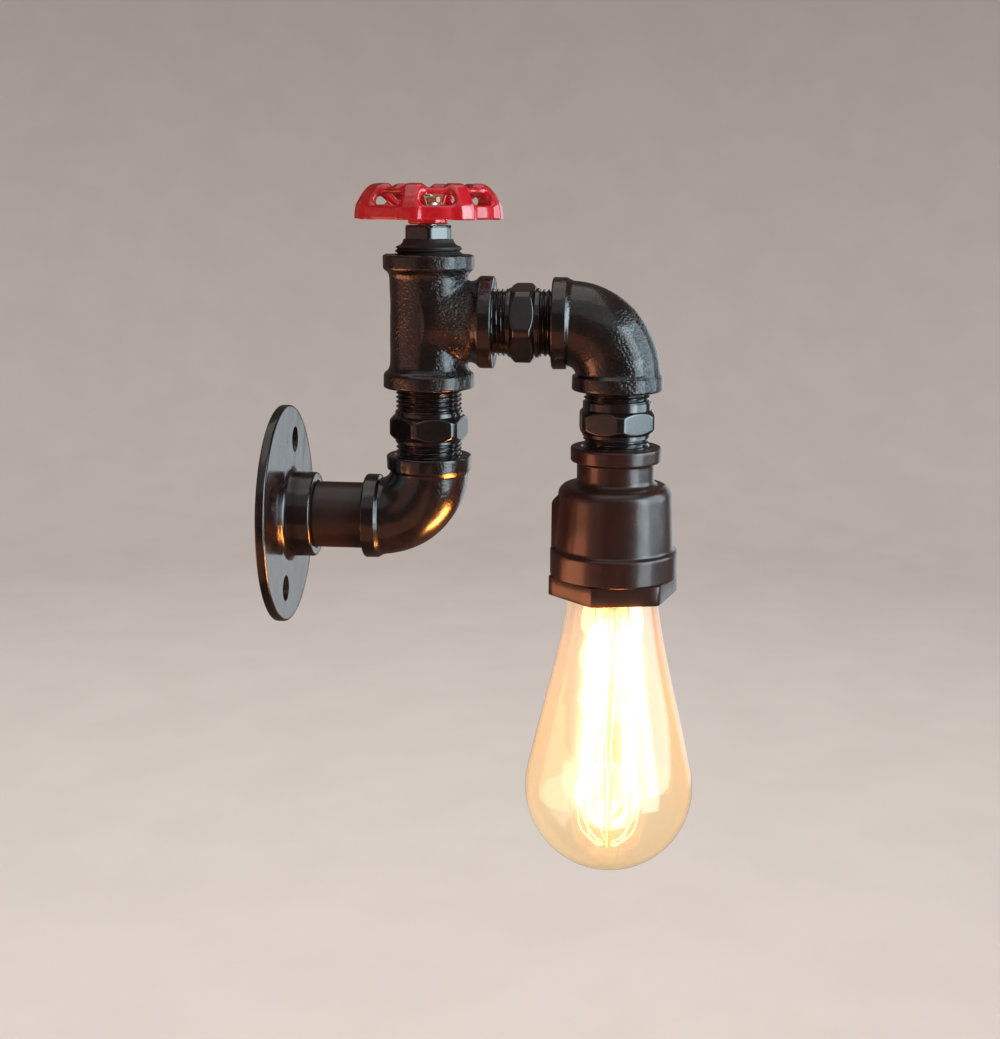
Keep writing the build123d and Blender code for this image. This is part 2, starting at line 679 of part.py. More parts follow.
# ---------------------------------------------------------------- bulb
def bulb_form(inset):
    """Solid of the bulb's outer form, or of the space inside it when inset is the wall."""
    centre = reducer_top_z - bulb_centre
    radius = bulb_radius - inset
    slope = radians(12.2)      # of the cone's side where it meets the round end
    under = radians(40)        # any angle below the meeting point
    meet = (radius * cos(slope), centre + radius * sin(slope))
    neck = (bulb_neck_radius - inset, bush_bottom_z)
    middle = (bulb_side_radius - inset, (bush_bottom_z + meet[1]) / 2)
    top = cap_bottom_z + 3.4
    collar = (cap_crest - cap_wall - cap_thread_depth - 0.1 - inset, cap_bottom_z - 0.05)
    outline = [
        Line((0, top + inset), (collar[0], top + inset)),
        Line((collar[0], top + inset), collar),
        Line(collar, (bulb_neck_radius - 1.6 - inset, cap_bottom_z - 2.6)),
        Line((bulb_neck_radius - 1.6 - inset, cap_bottom_z - 2.6), neck),
        ThreePointArc(neck, middle, meet),
        ThreePointArc(meet, (radius * cos(under), centre - radius * sin(under)), (0, centre - radius)),
        Line((0, centre - radius), (0, top + inset)),
    ]
    return revolve(Plane.XZ * make_face(outline), Axis.Z)


def bulb_glass():
    nub_radius = 2.8
    nub = Pos(0, 0, reducer_top_z - bulb_tip + nub_radius) * Sphere(nub_radius)
    return lamp * (bulb_form(0) + nub - bulb_form(bulb_wall))


def bulb_cap():
    """Screw cap: skirt at the glass, ridges, and the narrow end that the insulator fills."""
    thread_bottom = cap_bottom_z + 2.6
    thread_top = cap_bottom_z + 20.5
    outer = [(cap_crest + 0.1, cap_bottom_z)]
    outer += ridges(thread_bottom, thread_top, cap_crest, cap_thread_depth, cap_pitch)
    outer += [(cap_crest - cap_thread_depth - 0.4, thread_top + 1.2)]
    inner_radius = cap_crest - cap_thread_depth - cap_wall
    inner = [(inner_radius - 0.4, thread_top + 1.2), (inner_radius, thread_top), (inner_radius, cap_bottom_z)]
    return lamp * turned(outer + inner)


def bulb_insulator():
    """Black glass cone between the cap and the end contact."""
    foot = cap_bottom_z + 21.0
    inner_radius = cap_crest - cap_thread_depth - cap_wall - 0.4
    body = turned(
        [(0, foot - 1.2), (inner_radius - 0.2, foot - 1.2), (inner_radius - 0.2, foot + 0.75),
         (11.2, foot + 0.75), (8.4, foot + 2.2), (5.6, contact_foot_z - 0.05), (0, contact_foot_z - 0.05)],
    )
    return lamp * body


def bulb_contact():
    """End contact, a low dome."""
    foot = contact_foot_z
    dome = turned(
        [(0, foot), (4.7, foot), (4.7, foot + 0.5), (3.0, cap_top_z), (0, cap_top_z)],
        [0, 0, 0.3, 1, 0],
    )
    return lamp * dome


def bulb_stem():
    """Glass stem: flare sealed to the neck, pinch, long rod and the two buttons that hold the wires."""
    flare = cap_bottom_z + 3.0
    pinch_bottom = top_hook_z + 4.5
    flare_radius = cap_crest - cap_wall - cap_thread_depth - 0.1 - bulb_wall - 0.02
    body = turned(
        [(0, flare), (flare_radius, flare), (flare_radius, flare - 1.5), (5.4, flare - 9),
         (4.6, pinch_bottom + 4), (4.6, pinch_bottom), (1.7, pinch_bottom - 2), (1.5, button_z + 4),
         (2.8, button_z + 2), (2.8, button_z - 1), (0, button_z - 2)],
        [0, 0, 0.5, 4, 1.5, 1.5, 1.0, 1.0, 1.2, 1.4, 0],
    )
    return lamp * body


def on_circle(radius, angle, height):
    return (radius * cos(radians(angle)), radius * sin(radians(angle)), height)


def wire(points, radius):
    """Thin wire: straight runs with a ball at each bend."""
    runs = []
    for first, second in zip(points, points[1:]):
        start = Vector(*first)
        way = Vector(*second) - start
        runs.append(Plane(origin=start, z_dir=way) * rod(radius, 0, way.length))
    balls = [Pos(*point) * Sphere(radius) for point in points]
    body = runs[0]
    for piece in runs[1:] + balls:
        body += piece
    return body


def bulb_filament():
    """One long filament, up and down between the hooks."""
    points = [on_circle(top_hook_radius, 0, top_hook_z)]
    for leg in range(filament_legs):
        points.append(on_circle(bottom_hook_radius, (leg + 0.5) * hook_step, bottom_hook_z))
        points.append(on_circle(top_hook_radius, (leg + 1) * hook_step, top_hook_z))
    return lamp * wire(points, filament_radius)


def bulb_supports():
    """Support wires: one for each hook, from the upper and the lower glass button."""
    wires = []
    upper_root = top_hook_z + 7.0
    gap = filament_radius + support_radius + 0.02
    for leg in range(1, filament_legs):
        angle = leg * hook_step
        wires.append(wire([
            on_circle(4.0, angle, upper_root), on_circle(top_hook_radius - 0.6, angle, top_hook_z + 3.0),
            on_circle(top_hook_radius - gap, angle, top_hook_z),
        ], support_radius))
    for leg in range(filament_legs):
        angle = (leg + 0.5) * hook_step
        wires.append(wire([
            on_circle(2.4, angle, button_z), on_circle(bottom_hook_radius - 3.2, angle, button_z + 5.0),
            on_circle(bottom_hook_radius - 0.2, angle, bottom_hook_z - 7.0),
            on_circle(bottom_hook_radius, angle, bottom_hook_z - gap),
        ], support_radius))
    return lamp * Compound(children=wires)


def bulb_leads():
    """The two wires that feed the filament, out of the pinch."""
    pinch = top_hook_z + 5.5
    wires = []
    for angle in (0, filament_legs * hook_step):
        wires.append(wire([
            on_circle(3.0, angle, pinch), on_circle(3.4, angle, top_hook_z + 1.6),
            on_circle(top_hook_radius - filament_radius, angle, top_hook_z),
        ], support_radius + 0.1))
    return lamp * Compound(children=wires)


# ---------------------------------------------------------------- write every piece
pieces = {
    "wall_flange": wall_flange,
    "flange_nipple": flange_nipple,
    "lower_elbow": lower_elbow,
    "riser_hex_nipple": riser_hex_nipple,
    "tee": tee,
    "arm_hex_nipple": arm_hex_nipple,
    "upper_elbow": upper_elbow,
    "drop_hex_nipple": drop_hex_nipple,
    "reducer": reducer,
    "hex_bush": hex_bush,
    "valve_bonnet": valve_bonnet,
    "valve_stem": valve_stem,
    "stem_seal": stem_seal,
    "stem_clip": stem_clip,
    "handwheel": handwheel,
    "wheel_washer": wheel_washer,
    "wheel_nut": wheel_nut,
    "lampholder_body": lampholder_body,
    "lampholder_shell": lampholder_shell,
    "lampholder_contact": lampholder_contact,
    "terminal_blocks": terminal_blocks,
    "terminal_screws": terminal_screws,
    "live_core": lambda: core(1),
    "neutral_core": lambda: core(-1),
    "earth_core": earth_core,
    "cable_sheath": cable_sheath,
    "bulb_glass": bulb_glass,
    "bulb_cap": bulb_cap,
    "bulb_insulator": bulb_insulator,
    "bulb_contact": bulb_contact,
    "bulb_stem": bulb_stem,
    "bulb_filament": bulb_filament,
    "bulb_supports": bulb_supports,
    "bulb_leads": bulb_leads,
}

os.makedirs("parts", exist_ok=True)
for node, make in pieces.items():
    export_step(make(), f"parts/{node}.step")
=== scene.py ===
import json
import math
from itertools import product

import bmesh
import bpy
import numpy as np
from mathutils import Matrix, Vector


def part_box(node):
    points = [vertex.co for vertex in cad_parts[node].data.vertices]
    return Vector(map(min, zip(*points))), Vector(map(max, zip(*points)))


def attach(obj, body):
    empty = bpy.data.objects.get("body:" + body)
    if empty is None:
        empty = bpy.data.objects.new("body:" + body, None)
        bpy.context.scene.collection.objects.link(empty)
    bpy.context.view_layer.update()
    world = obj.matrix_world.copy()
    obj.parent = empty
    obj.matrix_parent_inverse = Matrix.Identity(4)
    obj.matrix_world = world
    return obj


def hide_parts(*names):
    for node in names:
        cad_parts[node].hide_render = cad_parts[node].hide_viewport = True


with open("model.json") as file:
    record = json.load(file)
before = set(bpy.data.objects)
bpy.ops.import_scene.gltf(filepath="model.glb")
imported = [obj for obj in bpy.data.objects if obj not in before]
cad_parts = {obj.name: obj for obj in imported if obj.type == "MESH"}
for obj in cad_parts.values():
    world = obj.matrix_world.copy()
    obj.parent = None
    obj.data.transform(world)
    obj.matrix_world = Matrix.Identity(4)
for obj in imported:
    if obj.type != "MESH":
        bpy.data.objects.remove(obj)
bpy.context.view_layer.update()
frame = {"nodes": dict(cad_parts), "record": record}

print("frame loaded,", len(frame["nodes"]), "nodes")

mm = 0.001
tau = 2 * math.pi


# places of the fittings, in millimetres, read from the frame
def nodeBox(node):
    low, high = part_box(node)
    return np.array(low) / mm, np.array(high) / mm


teeLow, teeHigh = nodeBox("tee")
lowerElbowHigh = nodeBox("lower_elbow")[1]
reducerLow, reducerHigh = nodeBox("reducer")
bonnetLow, bonnetHigh = nodeBox("valve_bonnet")
wheelLow, wheelHigh = nodeBox("handwheel")
glassLow, glassHigh = nodeBox("bulb_glass")
capLow, capHigh = nodeBox("bulb_cap")
bushLow = nodeBox("hex_bush")[0]

riserY = (wheelLow[1] + wheelHigh[1]) / 2
lampY = (glassLow[1] + glassHigh[1]) / 2
teeZ = (teeLow[2] + teeHigh[2]) / 2


# ---- arithmetic on shader sockets

class Value:
    # a socket of a material: + - * / and ** add Math nodes
    def __init__(self, finish, socket):
        self.finish, self.socket = finish, socket

    def __add__(self, other):
        return self.finish.maths("ADD", self, other)

    def __sub__(self, other):
        return self.finish.maths("SUBTRACT", self, other)

    def __mul__(self, other):
        return self.finish.maths("MULTIPLY", self, other)

    def __truediv__(self, other):
        return self.finish.maths("DIVIDE", self, other)

    def __pow__(self, other):
        return self.finish.maths("POWER", self, other)

    def __rsub__(self, other):
        return self.finish.maths("SUBTRACT", other, self)

    __radd__ = __add__
    __rmul__ = __mul__

    def clamped(self):
        return self.finish.maths("MAXIMUM", self.finish.maths("MINIMUM", self, 1.0), 0.0)

    def between(self, low, high):
        # 0 below low, 1 above high, smooth from one to the other
        settings = {"interpolation_type": "SMOOTHSTEP"}
        return self.finish.node("MapRange", settings, {0: self, 1: low, 2: high, 3: 0.0, 4: 1.0})


class Finish:
    # one material, built node by node
    def __init__(self, name):
        self.material = bpy.data.materials.new(name)
        self.material.use_nodes = True
        self.tree = self.material.node_tree
        self.tree.nodes.clear()
        self.output = self.tree.nodes.new("ShaderNodeOutputMaterial")

    def node(self, kind, settings=None, sockets=None, output=0):
        made = self.tree.nodes.new("ShaderNode" + kind)
        for key, setting in (settings or {}).items():
            if key == "stops":
                self.fillRamp(made.color_ramp, setting)
            else:
                setattr(made, key, setting)
        for key, given in (sockets or {}).items():
            if isinstance(given, Value):
                self.tree.links.new(given.socket, made.inputs[key])
            else:
                made.inputs[key].default_value = given
        return Value(self, made.outputs[output])

    @staticmethod
    def fillRamp(ramp, stops):
        while len(ramp.elements) < len(stops):
            ramp.elements.new(0.5)
        for element, (place, colour) in zip(ramp.elements, stops):
            element.position = place
            element.color = colour

    def maths(self, operation, *values):
        return self.node("Math", {"operation": operation}, dict(enumerate(values)))

    def place(self):
        # position on the piece in millimetres, so that patterns have a real size and move with it
        spot = self.node("TexCoord", output=3)
        return self.node("VectorMath", {"operation": "SCALE"}, {0: spot, "Scale": 1 / mm})

    def along(self, axis):
        return self.node("SeparateXYZ", {}, {0: self.place()}, axis)

    def edge(self, normal):
        # 0 where the surface faces the eye, 1 at its rim
        return self.node("LayerWeight", {}, {"Blend": 0.5, "Normal": normal}, 1)

    def noise(self, size, detail=2.0, rough=0.5, warp=0.0, place=None):
        return self.node("TexNoise", {}, {
            "Vector": place or self.place(), "Scale": 1 / size, "Detail": detail, "Roughness": rough,
            "Distortion": warp})

    def cells(self, size):
        return self.node("TexVoronoi", {"feature": "SMOOTH_F1"}, {
            "Vector": self.place(), "Scale": 1 / size, "Smoothness": 0.6})

    def mix(self, factor, first, second):
        return self.node("Mix", {"data_type": "RGBA"}, {0: factor, 6: first, 7: second}, 2)

    def mixShader(self, factor, first, second):
        return self.node("MixShader", {}, {0: factor, 1: first, 2: second})

    def bump(self, height, strength, distance, normal=None):
        sockets = {"Height": height, "Strength": strength, "Distance": distance * mm}
        if normal:
            sockets["Normal"] = normal
        return self.node("Bump", {}, sockets)

    def surface(self, **sockets):
        # a Principled shader; a name is written in camelCase for the socket's own
        names = {n.replace(" ", "").lower(): n for n in principledNames}
        return self.node("BsdfPrincipled", {}, {names[k.lower()]: v for k, v in sockets.items()})

    def done(self, shader):
        self.tree.links.new(shader.socket, self.output.inputs["Surface"])
        return self.material

    def painted(self, **sockets):
        return self.done(self.surface(**sockets))


principledNames = (
    "Base Color", "Metallic", "Roughness", "IOR", "Normal", "Coat Weight", "Coat Roughness",
    "Specular IOR Level", "Emission Color", "Emission Strength")


def rgb(red, green, blue):
    return (red, green, blue, 1.0)


# ---- black paint on the iron

blackPaint = {
    "colour": rgb(0.0062, 0.0042, 0.0038), "worn": rgb(0.016, 0.0088, 0.0072),
    "dust": rgb(0.03, 0.026, 0.025),
    "orangePeel": 1.1,      # mm
    "grain": 0.45,          # mm
    "hammer": 1.05,         # mm, the sand's lumps under the paint
    "peelDepth": 0.12, "grainDepth": 0.035, "hammerDepth": 0.5,      # mm
    # the upper castings came from coarser sand, which shows above a height and between places along Y
    "rougherAbove": (28.0, 52.0), "teeEnd": (-82.0, -78.0), "teeSide": (-69.0, -62.0),
    "elbowSide": (-143.0, -132.0),
    "coatRoughness": 0.12, "dullEdge": 0.6, "dullRoughness": 0.4,
}


def paintedIron(name, rough=0.3, peel=0.5, grain=0.3, speckle=0.0, coat=0.25, tint=None, dull=None):
    paint, look = Finish(name), blackPaint
    patches = paint.noise(9.0, 4.0, 0.6, 0.8).between(0.38, 0.68)
    dust = paint.noise(0.9, 3.0, 0.6).between(0.55, 0.75) * 0.35
    colour = paint.mix(patches * (0.5 if tint else 1.0), tint or look["colour"], look["worn"])
    colour = paint.mix(dust, colour, look["dust"])
    normal = paint.bump(paint.noise(look["orangePeel"], 2.0, 0.45), peel, look["peelDepth"])
    normal = paint.bump(paint.noise(look["grain"], 3.0, 0.65), grain, look["grainDepth"], normal)
    if speckle:
        # sand-cast roughness under the paint, in patches and mostly on one stretch of each upper casting
        where = paint.noise(15.0, 2.0, 0.5, 0.4).between(0.36, 0.56) * 0.7 + 0.3
        out = paint.along(1)
        onTee = out.between(*look["teeEnd"]) - out.between(*look["teeSide"])
        sandy = (onTee + 1 - out.between(*look["elbowSide"])).clamped() * 0.8 + 0.2
        where = where * sandy * (paint.along(2).between(*look["rougherAbove"]) * 0.85 + 0.15)
        lumps = 1 - paint.cells(look["hammer"]) + paint.noise(look["hammer"], 3.0, 0.7, 0.4) * 0.7
        normal = paint.bump(lumps * where, speckle, look["hammerDepth"], normal)
    roughness = rough + (paint.noise(3.2, 4.0, 0.6) - 0.5) * 0.12 + patches * 0.04
    gloss = coat
    if dull:
        # a duller stretch, from one height to another
        height, (low, high), edge = paint.along(2), dull, look["dullEdge"]
        share = height.between(low, low + edge) - height.between(high - edge, high)
        roughness = roughness + share * look["dullRoughness"]
        gloss = (1 - share) * coat
    return paint.painted(
        baseColor=colour, roughness=roughness.clamped(), normal=normal, coatWeight=gloss,
        coatRoughness=look["coatRoughness"], specularIorLevel=0.55)


redEnamel = {
    "deep": rgb(0.58, 0.0065, 0.014), "bright": rgb(0.74, 0.012, 0.025), "speck": rgb(0.3, 0.004, 0.008),
    "roughness": 0.22, "coat": 0.8, "coatRoughness": 0.05,
}


def enamel(name):
    paint = Finish(name)
    flow = paint.noise(7.0, 3.0, 0.5, 0.6)
    colour = paint.mix(flow.between(0.35, 0.7), redEnamel["deep"], redEnamel["bright"])
    specks = paint.noise(0.5, 2.0, 0.6).between(0.7, 0.78)
    colour = paint.mix(specks * 0.4, colour, redEnamel["speck"])
    normal = paint.bump(paint.noise(2.6, 2.0, 0.4), 0.25, 0.2)
    normal = paint.bump(paint.noise(0.5, 2.0, 0.5), 0.12, 0.02, normal)
    roughness = redEnamel["roughness"] + (flow - 0.5) * 0.12
    return paint.painted(
        baseColor=colour, roughness=roughness, normal=normal, coatWeight=redEnamel["coat"],
        coatRoughness=redEnamel["coatRoughness"])


def metal(name, colour, dark, rough):
    finish = Finish(name)
    # drawn lines round the part: noise that changes twelve times as fast along Z
    drawn = finish.node("VectorMath", {"operation": "MULTIPLY"}, {0: finish.place(), 1: (1.0, 1.0, 12.0)})
    lines = finish.noise(0.6, 3.0, 0.6, place=drawn)
    stain = finish.noise(4.0, 4.0, 0.6, 0.5).between(0.5, 0.75)
    tone = finish.mix(stain * 0.5, colour, dark)
    roughness = rough + (lines - 0.5) * 0.2 + stain * 0.12
    normal = finish.bump(lines, 0.2, 0.02)
    return finish.painted(baseColor=tone, metallic=1.0, roughness=roughness.clamped(), normal=normal)


def plastic(name, colour, deep, rough):
    finish = Finish(name)
    cloud = finish.noise(5.0, 3.0, 0.6)
    tone = finish.mix(cloud.between(0.35, 0.7), colour, deep)
    normal = finish.bump(finish.noise(0.5, 2.0, 0.5), 0.2, 0.02)
    roughness = rough + (cloud - 0.5) * 0.15
    return finish.painted(baseColor=tone, roughness=roughness.clamped(), normal=normal)


def ceramic(name):
    finish = Finish(name)
    cloud = finish.noise(6.0, 3.0, 0.6)
    specks = finish.noise(0.35, 2.0, 0.5).between(0.72, 0.8)
    tone = finish.mix(cloud.between(0.3, 0.75), rgb(0.82, 0.8, 0.74), rgb(0.72, 0.68, 0.6))
    tone = finish.mix(specks * 0.5, tone, rgb(0.25, 0.2, 0.15))
    normal = finish.bump(finish.noise(1.8, 2.0, 0.5), 0.12, 0.05)
    return finish.painted(
        baseColor=tone, roughness=0.16 + cloud * 0.12, normal=normal, coatWeight=0.5, coatRoughness=0.08)


bulbGlass = {
    "thin": rgb(1.0, 0.97, 0.88), "edge": rgb(0.97, 0.84, 0.62), "film": rgb(0.05, 0.035, 0.018),
    # painted glow on the glass, standing in for the filament's light in it, by share of the bulb's height
    # from its lowest point; greyer towards the neck
    "paintedGlow": ((0.0, rgb(0.37, 0.29, 0.09)), (0.12, rgb(0.43, 0.47, 0.36)), (0.36, rgb(0.68, 0.54, 0.35)),
             (0.62, rgb(0.82, 0.58, 0.38)), (0.86, rgb(0.50, 0.48, 0.45)), (1.0, rgb(0.34, 0.33, 0.33))),
    "rim": rgb(0.62, 0.56, 0.47), "paintedGlowStrength": 1.3,
    "filmShare": 0.14,      # how much of the surface the film takes where the glass faces the eye
    "shineIor": 3.4,        # so it mirrors more than glass would
}


def amberGlass(name):
    # thin blown glass: tinted, deeper towards its edges, with a mirror-like film over it that carries a
    # painted glow
    glass = Finish(name)
    ripple = glass.bump(glass.noise(14.0, 2.0, 0.4, 0.6), 0.25, 0.8)
    edge = glass.edge(ripple)
    pale = glass.node("BsdfTransparent", {}, {"Color": bulbGlass["thin"]})
    deep = glass.node("BsdfTransparent", {}, {"Color": bulbGlass["edge"]})
    dust = glass.noise(0.8, 3.0, 0.7).between(0.66, 0.8)
    bottom, top = glassLow[2], bushLow[2]
    share = (glass.along(2) - bottom) / (top - bottom) + (glass.noise(22.0, 2.0, 0.5) - 0.5) * 0.12
    # painted glow: emission colour by height, turning paler at the bulb's rim
    paintedGlow = glass.node("ValToRGB", {"stops": bulbGlass["paintedGlow"]}, {0: share})
    paintedGlow = glass.mix((edge ** 3.0).clamped(), paintedGlow, bulbGlass["rim"])
    shine = glass.surface(
        baseColor=bulbGlass["film"], metallic=0.0, roughness=0.03 + dust * 0.2, normal=ripple,
        emissionColor=paintedGlow, emissionStrength=bulbGlass["paintedGlowStrength"], ior=bulbGlass["shineIor"],
        coatWeight=1.0, coatRoughness=0.02)
    film = (edge ** 4.0 * 0.6 + bulbGlass["filmShare"] + dust * 0.04).clamped()
    return glass.done(glass.mixShader(film, glass.mixShader(edge ** 2.5, pale, deep), shine))


def clearGlass(name):
    glass = Finish(name)
    ripple = glass.bump(glass.noise(3.0, 2.0, 0.4), 0.3, 0.2)
    clear = glass.node("BsdfTransparent", {}, {"Color": rgb(1.0, 0.93, 0.78)})
    # painted glow: the stem glass is given a warm emission, standing in for the filament's light in it
    shine = glass.surface(
        baseColor=rgb(0.05, 0.035, 0.02), roughness=0.05, normal=ripple, emissionColor=rgb(1.0, 0.72, 0.34),
        emissionStrength=1.2, coatWeight=1.0)
    return glass.done(glass.mixShader((glass.edge(ripple) ** 3.0 * 0.5 + 0.14).clamped(), clear, shine))


def glowing(name, strength, colour):
    # hot wire, and the painted glow of the wires that hold it: uneven along its length, as wound wire glows
    wire = Finish(name)
    turns = wire.node("TexWave", {"bands_direction": "Z"}, {"Vector": wire.place(), "Scale": 1.1})
    tone = wire.mix(turns * 0.4, colour, rgb(1.0, 0.93, 0.8))
    return wire.painted(
        baseColor=rgb(0.9, 0.6, 0.3), roughness=0.4, emissionColor=tone, emissionStrength=strength)


finishes = {
    "flange_paint": paintedIron("flangePaint", rough=0.22, peel=0.25, grain=0.2, speckle=0.1, coat=0.5),
    "pipe_paint": paintedIron("pipePaint", rough=0.36, peel=0.2, grain=0.2, coat=0.1,
                              tint=rgb(0.040, 0.0145, 0.0095)),
    "casting_paint": paintedIron("castingPaint", rough=0.2, peel=0.3, grain=0.2, speckle=1.5, coat=0.6),
    "nipple_paint": paintedIron("nipplePaint", rough=0.18, peel=0.15, grain=0.1, coat=0.8,
                                dull=(teeHigh[2] - 0.5, teeHigh[2] + 6.4)),
    "reducer_paint": paintedIron("reducerPaint", rough=0.29, peel=0.25, grain=0.3, coat=0.3,
                                 tint=rgb(0.038, 0.0112, 0.0068)),
    "spindle_steel": metal("spindleSteel", rgb(0.46, 0.45, 0.44), rgb(0.2, 0.17, 0.15), 0.32),
    "seal_rubber": plastic("sealRubber", rgb(0.016, 0.016, 0.016), rgb(0.03, 0.03, 0.03), 0.7),
    "spring_steel": metal("springSteel", rgb(0.3, 0.3, 0.32), rgb(0.12, 0.11, 0.12), 0.35),
    "red_enamel": enamel("redEnamel"),
    "zinc": metal("zincPlate", rgb(0.62, 0.62, 0.64), rgb(0.34, 0.34, 0.33), 0.28),
    "nut_brass": metal("nutBrass", rgb(0.86, 0.66, 0.3), rgb(0.45, 0.28, 0.1), 0.24),
    "white_ceramic": ceramic("lampCeramic"),
    "holder_brass": metal("holderBrass", rgb(0.8, 0.6, 0.28), rgb(0.4, 0.25, 0.1), 0.3),
    "live_insulation": plastic("liveInsulation", rgb(0.2, 0.075, 0.03), rgb(0.14, 0.05, 0.02), 0.42),
    "neutral_insulation": plastic("neutralInsulation", rgb(0.03, 0.13, 0.42), rgb(0.02, 0.09, 0.3), 0.42),
    "earth_insulation": plastic("earthInsulation", rgb(0.2, 0.42, 0.04), rgb(0.55, 0.5, 0.05), 0.42),
    "cable_sheath": plastic("cableSheath", rgb(0.02, 0.02, 0.02), rgb(0.035, 0.034, 0.033), 0.55),
    "amber_glass": amberGlass("amberGlass"),
    "cap_metal": metal("capBrass", rgb(0.8, 0.66, 0.38), rgb(0.4, 0.27, 0.12), 0.28),
    "black_glass": plastic("blackGlass", rgb(0.01, 0.01, 0.012), rgb(0.02, 0.018, 0.02), 0.15),
    "clear_glass": clearGlass("clearGlass"),
    "filament": glowing("hotFilament", 34.0, rgb(1.0, 0.74, 0.42)),
    # the supports and leads are no lamp: their glow is painted
    "support_wire": glowing("supportWirePaintedGlow", 2.2, rgb(1.0, 0.66, 0.25)),
}
print("finishes made:", len(finishes))


# ---- meshes

def linked(name, data):
    made = bpy.data.objects.new(name, data)
    bpy.context.scene.collection.objects.link(made)
    return made


def newMesh(name, points, faces, merge=2e-6, thinnest=0.0):
    # points in millimetres; points closer than merge, in metres, become one
    mesh = bpy.data.meshes.new(name)
    points = np.asarray(points, float).reshape(-1, 3) * mm
    faces = np.asarray(faces, np.int32)
    mesh.vertices.add(len(points))
    mesh.vertices.foreach_set("co", points.ravel())
    mesh.loops.add(faces.size)
    mesh.loops.foreach_set("vertex_index", faces.ravel())
    mesh.polygons.add(len(faces))
    mesh.polygons.foreach_set("loop_start", np.arange(0, faces.size, faces.shape[1], dtype=np.int32))
    mesh.update(calc_edges=True)
    tidy = bmesh.new()
    tidy.from_mesh(mesh)
    bmesh.ops.remove_doubles(tidy, verts=tidy.verts, dist=merge)
    if thinnest:
        bmesh.ops.dissolve_degenerate(tidy, dist=thinnest, edges=tidy.edges)
    bmesh.ops.recalc_face_normals(tidy, faces=tidy.faces)
    tidy.to_mesh(mesh)
    tidy.free()
    return mesh


def smoothed(mesh, sharp):
    # flat faces meet at a sharp edge past the given angle
    mesh.shade_smooth()
    mesh.set_sharp_from_angle(angle=math.radians(sharp))


def dress(piece, body, slot, *nodes):
    piece.data.materials.clear()
    piece.data.materials.append(finishes[slot])
    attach(piece, body)
    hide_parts(*nodes)
    return piece


def addPiece(node, body, slot, points, faces, sharp):
    mesh = newMesh(node + "_piece", points, faces, thinnest=1e-7)
    smoothed(mesh, sharp)
    return dress(linked(mesh.name, mesh), body, slot, node)


def addGrid(node, body, slot, grid, sharp, closeRows=True):
    # a piece from rows of points that each close on themselves
    return addPiece(node, body, slot, grid, gridFaces(*grid.shape[:2], closeRows), sharp)


def gridFaces(rows, columns, closeRows=True):
    index = np.arange(rows * columns).reshape(rows, columns)
    if closeRows:
        index = np.vstack([index, index[:1]])
    index = np.hstack([index, index[:, :1]])
    return np.stack([index[:-1, :-1], index[:-1, 1:], index[1:, 1:], index[1:, :-1]], -1).reshape(-1, 4)


def evenTurns(sides):
    return np.arange(sides) * tau / sides


class Rings:
    # rows of points round Z, one for each height
    def __init__(self, turn):
        self.turn = turn
        self.rows = []

    def add(self, radius, *heights):
        radius = radius + 0 * self.turn
        x, y = radius * np.cos(self.turn), radius * np.sin(self.turn)
        self.rows += [np.stack([x, y, np.full(len(x), z)], -1) for z in heights]

    def addAll(self, *pairs):
        for radius, z in pairs:
            self.add(radius, z)

    def grid(self):
        return np.array(self.rows)


def rounded(points, radii, steps=5, close=True):
    # a corner list with an arc of the given radius at each corner
    points = [np.array(p, float) for p in points]
    made = []
    last = len(points) - 1
    for i, corner in enumerate(points):
        radius = radii[i]
        if radius <= 0 or (not close and i in (0, last)):
            made.append(corner)
            continue
        before = points[i - 1] - corner
        after = points[(i + 1) % len(points)] - corner
        a, b = before / np.linalg.norm(before), after / np.linalg.norm(after)
        half = math.acos(max(-1.0, min(1.0, float(a @ b)))) / 2
        # the arc takes less than half of either side
        reach = min(radius / math.tan(half), 0.49 * np.linalg.norm(before), 0.49 * np.linalg.norm(after))
        radius = reach * math.tan(half)
        bisector = (a + b) / np.linalg.norm(a + b)
        centre = corner + bisector * radius / math.sin(half)
        start, end = corner + a * reach - centre, corner + b * reach - centre
        angle = math.acos(max(-1.0, min(1.0, float(start @ end) / radius ** 2)))
        for step in range(steps + 1):
            first, second = math.sin((1 - step / steps) * angle), math.sin(step / steps * angle)
            made.append(centre + (start * first + end * second) / math.sin(angle))
    return np.array(made)


def divided(outline, longest, close=True):
    # more points on the long stretches of an outline
    made = []
    following = list(outline[1:]) + ([outline[0]] if close else [])
    for first, second in zip(outline, following):
        count = max(1, int(np.linalg.norm(second - first) / longest))
        made += [first + (second - first) * step / count for step in range(count)]
    if not close:
        made.append(outline[-1])
    return np.array(made)


def turnedGrid(outline, sides, change=None):
    # (rows, sides, 3) points of an outline of (radius, height) turned about Z
    turn = evenTurns(sides)
    radius = np.repeat(outline[:, :1], sides, 1)
    height = np.repeat(outline[:, 1:], sides, 1)
    if change:
        radius, height = change(radius, height, turn[None, :])
    return np.stack([radius * np.cos(turn), radius * np.sin(turn), height], -1)


def standUp(points, place):
    return points + np.array(place)


def pointOut(points, place=(0, 0, 0)):
    # turns +Z into -Y, out of the wall
    turned = np.stack([points[..., 0], -points[..., 2], points[..., 1]], -1)
    return turned + np.array(place)


